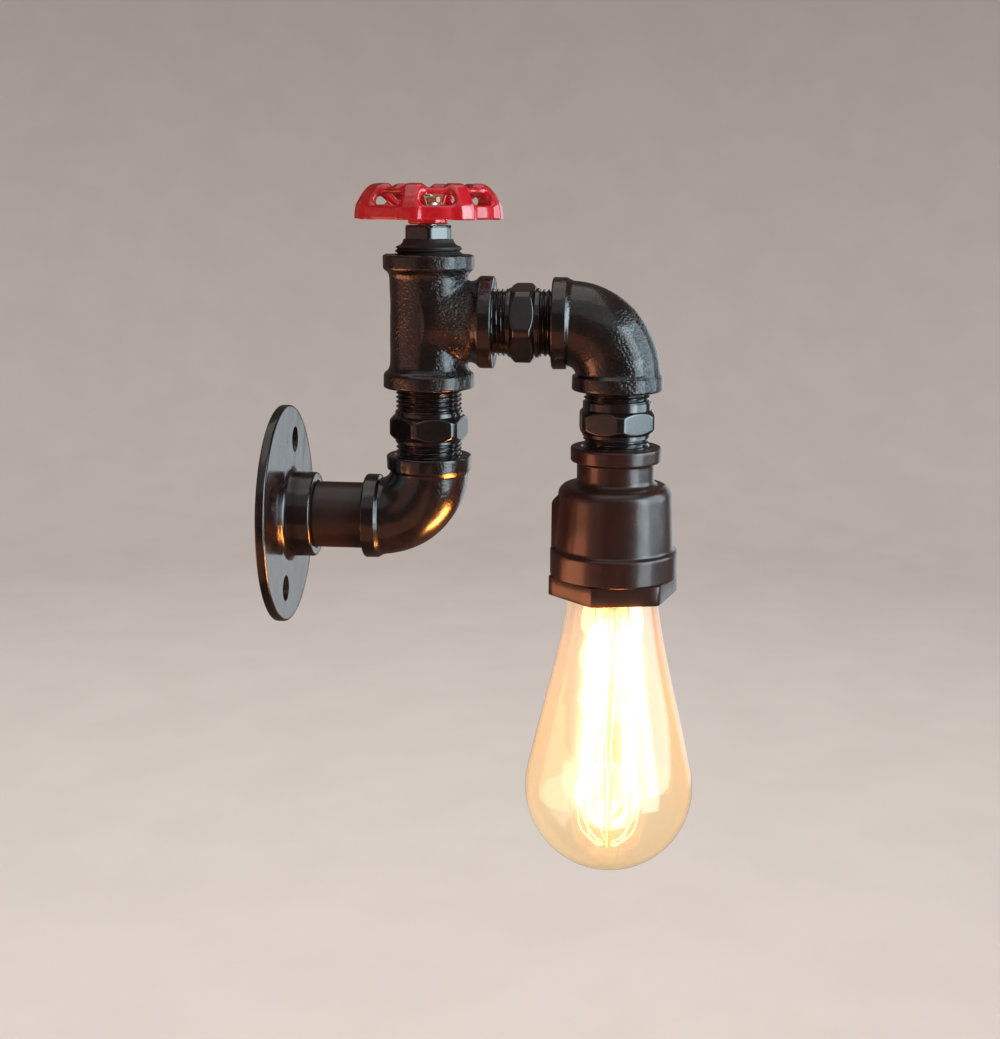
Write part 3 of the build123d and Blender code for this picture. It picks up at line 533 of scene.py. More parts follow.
def unevenness(points, amount, size, shift=0.0):
    # slow swell and dip of a sand casting's skin
    x, y, z = (points[..., i] / size + shift for i in range(3))
    first = np.sin(1.9 * x + 0.7 * z + 1.3) * np.sin(1.3 * y - 0.9 * x + 0.4) + np.sin(1.7 * z + 1.1 * y)
    second = np.sin(3.7 * x - 2.1 * y + 2.0) * np.sin(3.1 * z + 1.7 * x) * 0.5
    return amount * (first + second) / 2


def turnedUnevenness(radius, turn, height, *rest):
    x, y = radius * np.cos(turn), radius * np.sin(turn)
    return unevenness(np.stack([x, y, height + 0 * turn], -1), *rest)


def smoothMin(a, b, width):
    blend = np.clip(width - np.abs(a - b), 0, None) / width
    return np.minimum(a, b) - blend * blend * width / 4


def smoothMax(a, b, width):
    return -smoothMin(-a, -b, width)


def smoothStep(share):
    share = np.clip(share, 0, 1)
    return share * share * (3 - 2 * share)


# ---- pipe fittings

# what all the fittings and nipples share
pipeThread = {
    "crest": 13.22, "depth": 1.0, "pitch": 1.814, "engagement": 10.5, "bore": 9.3, "boreChamfer": 0.6,
    "socket": 13.25, "socketDepth": 11.5, "socketChamfer": 0.7,
}


def addThread(rings, heights, thread=pipeThread, depthShare=lambda z: 1.0):
    # a V thread with rounded crests and roots, filled a little by paint
    for z in heights:
        phase = (z / thread["pitch"] - rings.turn / tau) % 1.0
        depth = thread["depth"] * depthShare(z)
        rings.add(thread["crest"] - depth + depth * smoothStep(1 - np.abs(2 * phase - 1)), z)


def addBore(rings, top, foot, bore, chamfer):
    # the wall inside a nipple, from its top down to its foot
    wide = bore + chamfer
    rings.addAll((wide, top), (bore, top - chamfer), (bore, foot + chamfer), (wide, foot))


def hexRadius(turn, shape):
    # distance from the axis to a hexagon's side, with the corners turned down to a radius
    away = (turn - math.radians(shape["facet"]) + math.pi / 6) % (math.pi / 3) - math.pi / 6
    return smoothMin(shape["flats"] / 2 / np.cos(away), shape["cornerRadius"], shape["cornerSoftness"])


# heights above the lower fitting's face; "above" and "below" are the plain shoulders beside the hexagon
hexNipples = {
    "riser_hex_nipple": {"gap": 27.0, "from": 6.4, "height": 9.8, "facet": 196.5, "above": 1.3},
    "arm_hex_nipple": {"gap": 22.9, "from": 6.6, "height": 9.9, "facet": 162.0, "above": 1.2},
    "drop_hex_nipple": {"gap": 22.3, "from": 5.3, "height": 9.7, "facet": 157.0, "above": 2.9},
}
nippleShape = {
    "flats": 28.7, "cornerRadius": 15.85, "cornerSoftness": 0.3, "below": 0.8, "shoulder": 13.55,
    "faceShare": 0.482,     # radius of the turned-down face, as a share of the width over flats
    "faceSlope": 46.0, "faceSoftness": 0.5, "root": 13.15, "threadRow": 0.17, "hexRow": 0.25, "sides": 288,
    "runOut": (0.25, 1.6),  # share of the thread's depth at its end, and the length over which it grows
    "rim": ((0.0, 1.1), (0.0, 0.4), (0.1, 0.12), (0.35, 0.0)),      # (height, inset) at the hexagon's ends
}


def makeHexNipple(node, pointing, place):
    shape, thread = {**nippleShape, **hexNipples[node]}, pipeThread
    foot, head = -thread["engagement"], shape["gap"] + thread["engagement"]
    hexFrom, hexTo = shape["from"], shape["from"] + shape["height"]
    lowEnd, highEnd = hexFrom - shape["below"], hexTo + shape["above"]
    rings = Rings(evenTurns(shape["sides"]))
    sides = hexRadius(rings.turn, shape)

    def depthShare(z):
        least, growth = shape["runOut"]
        return min(1.0, least + min(abs(z - lowEnd), abs(z - highEnd)) / growth)

    def addHexagon(z, inset=0.0):
        fromFace = min(z - hexFrom, hexTo - z)
        slope = math.tan(math.radians(shape["faceSlope"]))
        cone = shape["flats"] * shape["faceShare"] + fromFace * slope
        rings.add(np.maximum(smoothMin(sides, cone, shape["faceSoftness"]) - inset, shape["root"]), z)

    addThread(rings, np.arange(foot, lowEnd, shape["threadRow"]), thread, depthShare)
    rings.add(shape["shoulder"], lowEnd, lowEnd + 0.3, hexFrom)
    for rise, inset in shape["rim"]:
        addHexagon(hexFrom + rise, inset)
    for z in np.arange(hexFrom + 0.7, hexTo - 0.6, shape["hexRow"]):
        addHexagon(z)
    for rise, inset in reversed(shape["rim"]):
        addHexagon(hexTo - rise, inset)
    rings.add(shape["shoulder"], hexTo, highEnd - 0.3, highEnd)
    addThread(rings, np.arange(highEnd + 0.1, head, shape["threadRow"]), thread, depthShare)
    addBore(rings, head, foot, thread["bore"], thread["boreChamfer"])
    addGrid(node, "fixture", "nipple_paint", pointing(rings.grid(), place), 40)


makeHexNipple("riser_hex_nipple", standUp, (0, riserY, lowerElbowHigh[2]))
makeHexNipple("arm_hex_nipple", pointOut, (0, teeLow[1], teeZ))
makeHexNipple("drop_hex_nipple", standUp, (0, lampY, reducerHigh[2]))
print("hexagon nipples made")


elbows = {
    "lower_elbow": {"leg": 25.9, "bend": 20.0, "body": 15.6, "band": 17.1, "shift": 0.3},
    "upper_elbow": {"leg": 26.0, "bend": 20.0, "body": 16.7, "band": 18.1, "shift": 2.1},
}
# the band leans in by its taper; radii of the band's front and back edges and of its foot
elbowSkin = {
    "bandTaper": 0.15, "bandFront": 0.9, "bandBack": 0.5, "foot": 1.4, "bore": 10.4, "swell": 0.13,
    "swellSize": 5.5, "row": 0.8, "sides": 128,
}


def makeElbow(node, place, flip):
    # its corner at the origin, ends towards +Y and +Z; its section follows the bend's centre line
    shape, thread = {**elbowSkin, **elbows[node]}, pipeThread
    leg, bend, band, body = shape["leg"], shape["bend"], shape["band"], shape["body"]
    straight = leg - bend
    arc = bend * math.pi / 2
    whole = 2 * straight + arc
    mouth, deep = thread["socketChamfer"], thread["socketDepth"]
    # (radius, distance along the centre line) of one half, outside and inside
    side = [(thread["socket"] + mouth, 0.0), (band, 0.0), (band - shape["bandTaper"], straight - 0.4),
            (body, straight + 1.1)]
    inner = [(thread["socket"], mouth), (thread["socket"], deep), (shape["bore"], deep)]
    outline = side + [(r, whole - s) for r, s in reversed(side)]
    outline += [(r, whole - s) for r, s in inner] + [(r, s) for r, s in reversed(inner)]
    radii = [0, shape["bandFront"], shape["bandBack"], shape["foot"]]
    outline = divided(rounded(outline, radii + radii[::-1] + [0] * 6, 6), shape["row"])
    turn = evenTurns(shape["sides"])[None, :]
    radius, along = outline[:, :1], outline[:, 1:]
    angle = np.clip((along - straight) / bend, 0, math.pi / 2)
    # centre line: down the Y leg, round the bend, up the Z leg
    centreY = np.where(along < straight, leg - along, bend - bend * np.sin(angle))
    centreZ = np.where(along > straight + arc, along - straight - arc + bend, bend - bend * np.cos(angle))
    # away from the bend's centre
    outY = np.where(along < straight, 0.0, -np.sin(angle))
    outZ = np.where(along < straight, -1.0, -np.cos(angle))
    out = np.stack([np.cos(turn) + 0 * along, np.sin(turn) * outY, np.sin(turn) * outZ], -1)
    points = radius[..., None] * out + np.stack([0 * centreY, centreY, centreZ], -1)
    outside = radius > thread["socket"] + 1
    swell = unevenness(points, shape["swell"], shape["swellSize"], shape["shift"]) * outside
    points = points + out * swell[..., None]
    if flip:
        points = points * np.array([-1.0, 1.0, -1.0])     # half turn about Y
    addGrid(node, "fixture", "casting_paint", points + np.array(place), 35)


makeElbow("lower_elbow", (0, riserY, 0), False)
makeElbow("upper_elbow", (0, lampY, teeZ), True)
print("elbows made")


# ---- cast forms from a distance field: grid, surface net, then pulled onto the exact surface

def roundedBox(across, along, halfWidth, halfLength, rounding):
    # distance from a rectangle about the origin, its corners rounded
    dx, dy = across - (halfWidth - rounding), np.abs(along) - (halfLength - rounding)
    outside = np.hypot(np.maximum(dx, 0), np.maximum(dy, 0))
    return np.minimum(np.maximum(dx, dy), 0) + outside - rounding


def roundBar(along, away, radius, start, end, rounding):
    return roundedBox(away, along - (start + end) / 2, radius, (end - start) / 2, rounding)


def surfaceNet(field, low, high, step):
    # one point in each cell that the surface crosses, and a quad round each grid edge that it crosses
    axes = [np.arange(low[i] - step, high[i] + 2 * step, step) for i in range(3)]
    values = field(*np.meshgrid(*axes, indexing="ij"))
    inside = values < 0
    shape = np.array(values.shape) - 1
    place = np.zeros((*shape, 3))
    hits = np.zeros(shape)

    def corner(offset):
        return values[tuple(slice(o, o + s) for o, s in zip(offset, shape))]

    for near in product((0, 1), repeat=3):
        for axis in range(3):
            if near[axis]:
                continue
            far = [1 if i == axis else near[i] for i in range(3)]
            first, second = corner(near), corner(far)
            cross = (first < 0) != (second < 0)
            share = np.where(cross, first / np.where(cross, first - second, 1.0), 0.0)
            for i in range(3):
                place[..., i] += np.where(cross, near[i] + (share if i == axis else 0.0), 0.0)
            hits += cross
    mixed = hits > 0
    number = np.full(shape, -1)
    number[mixed] = np.arange(mixed.sum())
    origin = np.array([a[0] for a in axes])
    points = origin + (np.argwhere(mixed) + place[mixed] / hits[mixed][:, None]) * step
    faces = []
    for axis in range(3):
        first = inside[tuple(slice(0, -1) if i == axis else slice(None) for i in range(3))]
        second = inside[tuple(slice(1, None) if i == axis else slice(None) for i in range(3))]
        edges = np.argwhere(first != second)
        others = [(axis + 1) % 3, (axis + 2) % 3]
        edges = edges[np.all([(edges[:, o] > 0) & (edges[:, o] < shape[o]) for o in others], 0)]
        quad = []
        for a, b in ((0, 0), (-1, 0), (-1, -1), (0, -1)):
            cell = edges.copy()
            cell[:, others] += (a, b)
            quad.append(number[tuple(cell.T)])
        quad = np.stack(quad, 1)
        outward = first[tuple(edges.T)]
        quad[~outward] = quad[~outward][:, ::-1]
        faces.append(quad)
    faces = np.vstack(faces)
    return pulledOn(field, points, faces, step), faces


def pulledOn(field, points, faces, step, rounds=4):
    # evens the points out along the surface between the pulls
    pairs = np.vstack([faces[:, [0, 1]], faces[:, [1, 2]], faces[:, [2, 3]], faces[:, [3, 0]]])
    degree = np.bincount(pairs.ravel(), minlength=len(points))[:, None]
    small = step * 0.05
    leastSlope = 0.2
    for turn in range(rounds):
        if turn:
            total = sum(np.stack([np.bincount(pairs[:, a], points[pairs[:, b], i], len(points))
                                  for i in range(3)], 1) for a, b in ((0, 1), (1, 0)))
            points = points + (total / degree - points) * 0.5
        for _ in range(2):
            here = field(*points.T)
            slope = np.stack([field(*(points + nudge).T) - field(*(points - nudge).T)
                              for nudge in small * np.eye(3)], 1) / (2 * small)
            move = (here / np.maximum((slope ** 2).sum(1), leastSlope))[:, None] * slope
            points = points - np.clip(move, -step, step)
    return points


tee = {
    "halfRun": 26.2, "waist": 15.2, "body": 15.6, "branch": 15.9, "band": 17.75, "bandWidth": 5.6,
    "bandBlend": 4.2, "rounding": 0.8, "crotch": 1.5, "bore": 11.6, "step": 0.42,
    "endRounding": 0.8, "mouthRounding": 0.3, "swell": (0.13, 5.2, 0.9),
}


def teeField(x, y, z):
    # centre at the origin, branch towards -Y
    half, thread = tee["halfRun"], pipeThread
    bandFrom = half - tee["bandWidth"]
    aroundRun, aroundBranch = np.hypot(x, y), np.hypot(x, z)

    def banded(body, along, away):
        band = roundBar(along, away, tee["band"], bandFrom, half, tee["rounding"])
        return smoothMin(body, band, tee["bandBlend"])

    waist = tee["waist"] + (tee["body"] - tee["waist"]) * (z / bandFrom) ** 2
    run = smoothMax(aroundRun - waist, np.abs(z) - half + 1.0, 0.5)
    run = banded(banded(run, -z, aroundRun), z, aroundRun)
    branch = smoothMax(aroundBranch - tee["branch"], np.maximum(y, -y - half + 1.0), 0.5)
    body = banded(smoothMin(run, branch, tee["crotch"]), -y, aroundBranch)
    # the end faces are flat
    body = smoothMax(body, np.maximum(np.abs(z), -y) - half, tee["endRounding"])
    body = body + unevenness(np.stack([x, y, z], -1), *tee["swell"])
    passage = np.minimum(aroundRun - tee["bore"], np.maximum(aroundBranch - tee["bore"], y))
    for along, away in ((z, aroundRun), (-z, aroundRun), (-y, aroundBranch)):
        mouth = thread["socket"] + np.clip(along - half + thread["socketChamfer"], 0, None)
        passage = np.minimum(passage, np.maximum(away - mouth, half - thread["socketDepth"] - along))
    return smoothMax(body, -passage, tee["mouthRounding"])


def makeTee():
    half, band = tee["halfRun"], tee["band"]
    points, faces = surfaceNet(teeField, (-band, -half, -half), (band, band, half), tee["step"])
    addPiece("tee", "fixture", "casting_paint", points + np.array([0, riserY, teeZ]), faces, 50)


makeTee()
print("tee made")


flange = {
    "radius": 44.3, "thickness": 3.7, "hub": 17.2, "front": 15.0, "hubDraft": 0.25,
    "row": 1.6, "sides": 224,
    "edges": (0.3, 0.5, 1.1, 2.6, 1.1, 0.1, 0.1),       # rounding of each corner of the outline
    "holeCircle": 31.0, "firstHole": 69.0, "holes": 4, "holeSides": 40,
    # (radius, height) of a hole's wall, wider towards the front
    "hole": ((0.0, -1.0), (4.75, -1.0), (4.75, 2.9), (5.3, 3.6), (5.5, 5.0), (0.0, 5.0)),
}


def makeFlange():
    shape, socket, chamfer = flange, pipeThread["socket"], pipeThread["socketChamfer"] + 0.05
    corners = [(socket, 0), (shape["radius"], 0), (shape["radius"], shape["thickness"]),
               (shape["hub"] + shape["hubDraft"], shape["thickness"]), (shape["hub"], shape["front"]),
               (socket + chamfer, shape["front"]), (socket, shape["front"] - chamfer)]
    outline = divided(rounded(corners, shape["edges"], 6), shape["row"])

    def change(radius, height, turn):
        # uneven in front and flat behind
        front = np.clip((height - 1.5) / 2, 0, 1) * (radius > socket + 1)
        swell = turnedUnevenness(radius, turn, height, 0.1, 6.0, 1.7) * front
        return radius + swell, height + 0.6 * turnedUnevenness(radius, turn, height, 0.1, 7.0) * front

    grid = pointOut(turnedGrid(outline, shape["sides"], change))
    piece = addGrid("wall_flange", "fixture", "flange_paint", grid, 40)
    cutters = []
    for number in range(shape["holes"]):
        angle = math.radians(shape["firstHole"] + number * 360 / shape["holes"])
        spot = np.array([math.cos(angle), math.sin(angle), 0]) * shape["holeCircle"]
        grid = turnedGrid(divided(np.array(shape["hole"]), 3.0, False), shape["holeSides"]) + spot
        mesh = newMesh("holeCutter", pointOut(grid), gridFaces(*grid.shape[:2], False))
        cutters.append(linked("holeCutter", mesh))
    cutAway(piece, cutters)


def cutAway(piece, cutters):
    for cutter in cutters:
        cut = piece.modifiers.new("cut", "BOOLEAN")
        cut.operation = "DIFFERENCE"
        cut.solver = "EXACT"
        cut.object = cutter
    seen = piece.evaluated_get(bpy.context.evaluated_depsgraph_get())
    mesh = bpy.data.meshes.new_from_object(seen)
    piece.modifiers.clear()
    piece.data = mesh
    for cutter in cutters:
        bpy.data.objects.remove(cutter)
    smoothed(mesh, 40)


makeFlange()
print("flange made")


barrel = {
    "radius": 13.4, "bore": 10.6, "boreChamfer": 0.7, "gap": 20.3, "sides": 144, "threadRow": 0.18,
    "past": 0.5,            # how far the plain pipe goes into its fittings
    "fall": 0.4, "swell": (0.035, 6.0), "rows": 40,
}


def makeBarrel():
    shape, thread, past = barrel, pipeThread, barrel["past"]
    first, last = flange["front"], flange["front"] + shape["gap"]
    start, end = first - thread["engagement"], last + thread["engagement"]
    rings = Rings(evenTurns(shape["sides"]))
    addThread(rings, np.arange(start, first - past - 0.1, shape["threadRow"]))
    for z in np.linspace(first - past, last + past, shape["rows"]):
        swell = turnedUnevenness(shape["radius"], rings.turn, z, *shape["swell"])
        toEnd = min(z - first + past, last + past - z)
        rings.add(shape["radius"] + swell - shape["fall"] * max(0.0, 1 - toEnd / 0.5), z)
    addThread(rings, np.arange(last + past + 0.1, end, shape["threadRow"]))
    addBore(rings, end, start, shape["bore"], shape["boreChamfer"])
    addGrid("flange_nipple", "fixture", "pipe_paint", pointOut(rings.grid()), 40)


makeBarrel()


reducer = {
    "height": 52.5, "topBand": 18.15, "topBandWidth": 5.8, "neck": 15.4, "neckBottom": 14.8,
    "bellTop": 22.6, "bell": 23.8, "band": 25.65, "bandWidth": 10.8, "row": 0.7, "sides": 240,
    "mouth": 20.96, "mouthDepth": 13.0, "boreWide": 19.3, "seat": 12.9, "bore": 10.5,
    "edges": (0.1, 0.9, 0.7, 1.0, 2.0, 6.8, 1.3, 1.3, 0.8), "innerEdges": 0.1, "swell": (0.06, 7.0, 0.4),
    "ribAngle": 96.0, "ribWidth": 3.2, "ribReach": 25.35, "ribEdge": 1.1, "ribRise": 4.0,
}


def makeReducer():
    shape, thread = reducer, pipeThread
    socket, deep = thread["socket"], -thread["socketDepth"]
    bottom, bellTop = -shape["height"], -shape["neckBottom"]
    bandTop, mouthTop = bottom + shape["bandWidth"], bottom + shape["mouthDepth"]
    outer = [(socket + thread["socketChamfer"], 0), (shape["topBand"], 0),
             (shape["topBand"] - 0.15, -shape["topBandWidth"]),
             (shape["neck"], -shape["topBandWidth"] - 0.5), (shape["neck"], bellTop),
             (shape["bellTop"], bellTop - 1.0), (shape["bell"], bandTop + 0.4),
             (shape["band"], bandTop), (shape["band"], bottom)]
    mouth, wide, bore = shape["mouth"], shape["boreWide"], shape["bore"]
    inner = [(mouth + 0.9, bottom), (mouth, bottom + 0.9), (mouth, mouthTop), (wide, mouthTop),
             (wide, bellTop - 9.5), (shape["seat"], bellTop - 4.2), (bore, bellTop - 4.2), (bore, deep),
             (socket, deep), (socket, -thread["socketChamfer"])]
    radii = [*shape["edges"], *[shape["innerEdges"]] * len(inner)]
    outline = divided(rounded(outer + inner, radii, 7), shape["row"])
    ribTop = bellTop - 5.0

    def change(radius, height, turn):
        outside = radius > socket + 1.5
        outside &= ~((radius < mouth + 1.2) & (height < bandTop + 1))
        radius = radius + turnedUnevenness(radius, turn, height, *shape["swell"]) * outside
        # the upright rib, which fades into the bell's shoulder at its top
        away = (turn - math.radians(shape["ribAngle"]) + math.pi) % tau - math.pi
        halfWidth = shape["ribWidth"] / 2 + 0.6
        across = smoothStep((halfWidth - np.abs(away) * shape["ribReach"]) / shape["ribEdge"])
        rise = np.clip((ribTop - height) / shape["ribRise"], 0, 1)
        reach = shape["bellTop"] + (shape["ribReach"] - shape["bellTop"]) * np.sin(rise * math.pi / 2)
        onBell = outside & (height > bandTop - 0.6) & (height < ribTop)
        ribbed = np.where(onBell, reach * across, 0.0)
        return np.maximum(radius, ribbed + (radius - ribbed) * (1 - across) * (ribbed > 0)), height

    grid = standUp(turnedGrid(outline, shape["sides"], change), (0, lampY, reducerHigh[2]))
    addGrid("reducer", "fixture", "reducer_paint", grid, 40)


makeReducer()

bush = {
    "flats": 46.4, "height": 7.8, "facet": 133.0, "edge": 0.35, "cornerSoftness": 0.25, "bore": 19.0,
    "crest": 20.93, "depth": 1.3, "pitch": 2.309, "threadLength": 10.0, "threadRow": 0.22,
}


def hexTurns(facet, flat=10, corner=4, spread=1.1):
    # angles that gather at the hexagon's corners
    turns = []
    for side in range(6):
        start = facet + 30 + side * 60
        turns += [start + spread * (i / corner) for i in range(-corner, corner)]
        turns += list(np.linspace(start + spread, start + 60 - spread, flat, endpoint=False))
    return np.radians(np.array(turns))


def makeBush():
    shape, edge, bore, crest = bush, bush["edge"], bush["bore"], bush["crest"]
    rings = Rings(hexTurns(shape["facet"]))
    cornerRadius = shape["flats"] / 2 / math.cos(math.pi / 6) - edge
    hexagon = hexRadius(rings.turn, {**shape, "cornerRadius": cornerRadius})
    foot = -shape["height"]
    addThread(rings, np.arange(shape["threadLength"], 0.4, -shape["threadRow"]), shape)
    rings.addAll((crest - 0.5, 0.0), (crest + 0.4, 0.0))
    rim = ((edge, 0.0), (edge * 0.3, edge * 0.3), (0.0, edge))
    rings.addAll(*[(hexagon - inset, -depth) for inset, depth in rim], (hexagon, foot / 2))
    rings.addAll(*[(hexagon - inset, foot + depth) for inset, depth in reversed(rim)])
    rings.addAll((bore + 0.8, foot), (bore + 0.25, foot + 0.25), (bore, foot + 0.8),
                 (bore, shape["threadLength"] - 0.3))
    grid = standUp(rings.grid(), (0, lampY, reducerLow[2]))
    addGrid("hex_bush", "fixture", "reducer_paint", grid, 28)


makeBush()
print("reducer and bush made")


# ---- valve top

bonnet = {
    "show": 2.6, "flats": 18.0, "facet": 218.3, "cornerRadius": 9.95, "cornerSoftness": 0.5,
    # (inset from the flare's radius, height) up the flare, and the rounding of each of these corners
    "flareRadius": 12.9, "flare": ((0.0, 0.0), (0.1, 0.35), (1.9, 1.1), (2.7, 2.0), (3.1, 3.2)),
    "flareEdges": (0, 0.3, 1.2, 1.5, 0), "hexStart": 1.6,
    # (inset, depth below the top) of the crown
    "crownRadius": 9.75, "crown": ((0.05, 0.6), (0.25, 0.25), (0.7, 0.05), (1.2, 0.0)),
    "hole": 4.05, "seal": 6.1, "sealDepth": 2.4,
}


def makeBonnet():
    shape = bonnet
    foot, top = bonnetLow[2], bonnetHigh[2]
    threadTop = teeHigh[2] + shape["show"]
    rings = Rings(hexTurns(shape["facet"], 12, 4, 3.0))
    hexagon = hexRadius(rings.turn, shape)
    addThread(rings, np.arange(foot, threadTop - 0.2, nippleShape["threadRow"]))
    flare = [(shape["flareRadius"] - inset, threadTop + rise) for inset, rise in shape["flare"]]
    for radius, z in divided(rounded(flare, shape["flareEdges"], 4, False), 0.4, False):
        # the hexagon grows out of the flare
        share = min(1.0, max(0.0, z - threadTop - shape["hexStart"]))
        rings.add(np.maximum(radius, hexagon * share), z)
    rings.add(hexagon, *np.linspace(flare[-1][1] + 0.3, top - 0.9, 6))
    for inset, depth in shape["crown"]:
        rings.add(np.minimum(hexagon - inset * 0.6, shape["crownRadius"] - inset), top - depth)
    hole, seal, seat = shape["hole"], shape["seal"], foot + shape["sealDepth"]
    rings.addAll((hole + 0.5, top), (hole, top - 0.5), (hole, seat), (seal, seat), (seal, foot))
    addGrid("valve_bonnet", "fixture", "nipple_paint", standUp(rings.grid(), (0, riserY, 0)), 34)


makeBonnet()

wheel = {
    "lobes": 8, "firstLobe": 38.3, "arms": 4, "firstArm": 83.3,
    "rimMiddle": 26.7, "rimHalf": 1.351, "rimHeight": 5.4, "rimLean": 0.05, "rimRounding": 1.0,
    "ringMiddle": 20.2, "ringHalf": 2.501, "ringHeight": 10.75, "ringThick": 1.05, "ringRounding": 1.2,
    "ringFillet": 1.5, "lobeWidth": 3.35, "lobeThick": 1.5, "lobeCentre": (19.4, 0.1),
    "lobeReach": (8.3, 11.9), "lobeRounding": 1.4, "lobeFillet": 3.2,
    "armWidth": 2.8, "armThick": 1.5, "armPath": ((4.0, 3.1), (9.0, 3.0), (12.5, 5.2), (18.2, 10.4)),
    "armRounding": 1.3, "armFillet": 1.6,
    "hubRadius": 8.0, "hubTaper": 0.06, "hubBottom": -2.0, "hubTop": 5.5, "hubRounding": 0.8,
    "hubFillet": 2.0, "hubZone": 12.0, "square": 5.24, "bottomEdge": 0.5, "squareEdge": 0.2,
    "reach": 29.6, "top": 13.8, "step": 0.42,       # of the grid that it is made from
}


def pathDistance(u, w, path):
    best = np.full(u.shape, np.inf)
    for (u0, w0), (u1, w1) in zip(path, path[1:]):
        du, dw = u1 - u0, w1 - w0
        share = np.clip(((u - u0) * du + (w - w0) * dw) / (du * du + dw * dw), 0, 1)
        best = np.minimum(best, np.hypot(u - u0 - share * du, w - w0 - share * dw))
    return best


def folded(x, y, first, count):
    # the point seen from the nearest of several spokes
    turn = np.arctan2(y, x) - math.radians(first)
    near = (turn + math.pi / count) % (tau / count) - math.pi / count
    away = np.hypot(x, y)
    return away * np.cos(near), away * np.sin(near)


def wheelField(x, y, z):
    shape = wheel
    away = np.hypot(x, y)

    def spokes(kind, path):
        # bars that follow a path out from the axis, one for each lobe or arm
        u, v = folded(x, y, shape["first" + kind], shape[kind.lower() + "s"])
        width, thick, rounding = (shape[kind.lower() + part] for part in ("Width", "Thick", "Rounding"))
        return roundedBox(pathDistance(u, z, path), v, thick, width, rounding)

    # the skirt leans in a little towards its top
    fromRim = np.abs(away - shape["rimMiddle"] + shape["rimLean"] * z)
    rim = roundBar(z, fromRim, shape["rimHalf"], 0, shape["rimHeight"], shape["rimRounding"])
    fromRing, aboveRing = np.abs(away - shape["ringMiddle"]), z - shape["ringHeight"]
    ring = roundedBox(fromRing, aboveRing, shape["ringHalf"], shape["ringThick"], shape["ringRounding"])
    (cu, cw), (ru, rw) = shape["lobeCentre"], shape["lobeReach"]
    arc = [(cu + ru * math.cos(t), cw + rw * math.sin(t)) for t in np.linspace(0.0, math.pi / 2, 25)]
    hubRadius = shape["hubRadius"] - shape["hubTaper"] * np.abs(z)
    hub = roundBar(z, away, hubRadius, shape["hubBottom"], shape["hubTop"], shape["hubRounding"])
    body = smoothMin(rim, ring, shape["ringFillet"])
    body = smoothMin(body, spokes("Lobe", arc), shape["lobeFillet"])
    body = smoothMin(body, spokes("Arm", shape["armPath"]), shape["armFillet"])
    body = smoothMin(body, hub, shape["hubFillet"])
    bottom = np.where(away > shape["hubZone"], 0.0, shape["hubBottom"])
    body = smoothMax(body, bottom - z, shape["bottomEdge"])
    # the square hole for the spindle
    turn = math.radians(shape["firstArm"])
    across = np.abs(x * math.cos(turn) + y * math.sin(turn))
    along = np.abs(y * math.cos(turn) - x * math.sin(turn))
    return smoothMax(body, shape["square"] / 2 - np.maximum(across, along), shape["squareEdge"])


def makeWheel():
    reach, bottom = wheel["reach"], wheel["hubBottom"]
    low, high = (-reach, -reach, bottom - 0.2), (reach, reach, wheel["top"])
    points, faces = surfaceNet(wheelField, low, high, wheel["step"])
    points = points + np.array([0, riserY, wheelLow[2] - bottom])
    addPiece("handwheel", "wheel", "red_enamel", points, faces, 55)


makeWheel()
print("handwheel made")


# ---- bulb

def hangs(points):
    return standUp(points, (0, lampY, 0))


glass = {
    "radius": 34.8, "slope": 12.2, "wall": 1.0, "neck": 17.8, "neckLean": 0.13, "shoulder": 16.2,
    "collar": 11.55, "pip": 1.2, "pipRadius": 4.2, "row": 1.6, "sides": 160,
}


def glassOutline(inset):
    # from the round end's lowest point up to the collar in the cap
    shape = glass
    radius = shape["radius"] - inset
    middle = glassLow[2] + shape["pip"] + shape["radius"]
    slope = math.radians(shape["slope"])
    points = [(radius * math.sin(t), middle - radius * math.cos(t))
              for t in np.linspace(0.0, math.pi / 2 + slope, 44)]
    meetRadius, meetZ = points[-1]
    neckRadius = shape["neck"] - inset
    # a cubic from the round end into the neck, slightly hollow
    length = bushLow[2] - meetZ
    for t in np.linspace(0, 1, 34)[1:]:
        blend = 3 * t ** 2 - 2 * t ** 3
        swing = (t ** 3 - 2 * t ** 2 + t) * math.tan(slope) + (t ** 3 - t ** 2) * shape["neckLean"]
        points.append((meetRadius + (neckRadius - meetRadius) * blend - length * swing, meetZ + t * length))
    capZ = capLow[2]
    points += [(shape["shoulder"] - inset, capZ - 2.6), (shape["collar"] - inset, capZ - 0.1),
               (shape["collar"] - inset, capZ + 3.2)]
    return np.array(points)


def makeGlass():
    outer = divided(glassOutline(0.0), glass["row"], False)
    inner = divided(glassOutline(glass["wall"]), glass["row"], False)[::-1]
    # the pip where the bulb was sealed
    pip = 1 - outer[:, 0] / glass["pipRadius"]
    outer[:, 1] -= glass["pip"] * smoothStep(pip) * (outer[:, 1] < glassLow[2] + 8)
    grid = hangs(turnedGrid(np.vstack([outer, inner]), glass["sides"]))
    addGrid("bulb_glass", "bulb", "amber_glass", grid, 60, False)


makeGlass()

cap = {"crest": 13.05, "pitch": 3.629, "depth": 0.9, "wall": 0.5, "row": 0.25, "sides": 128, "runOut": 1.5}


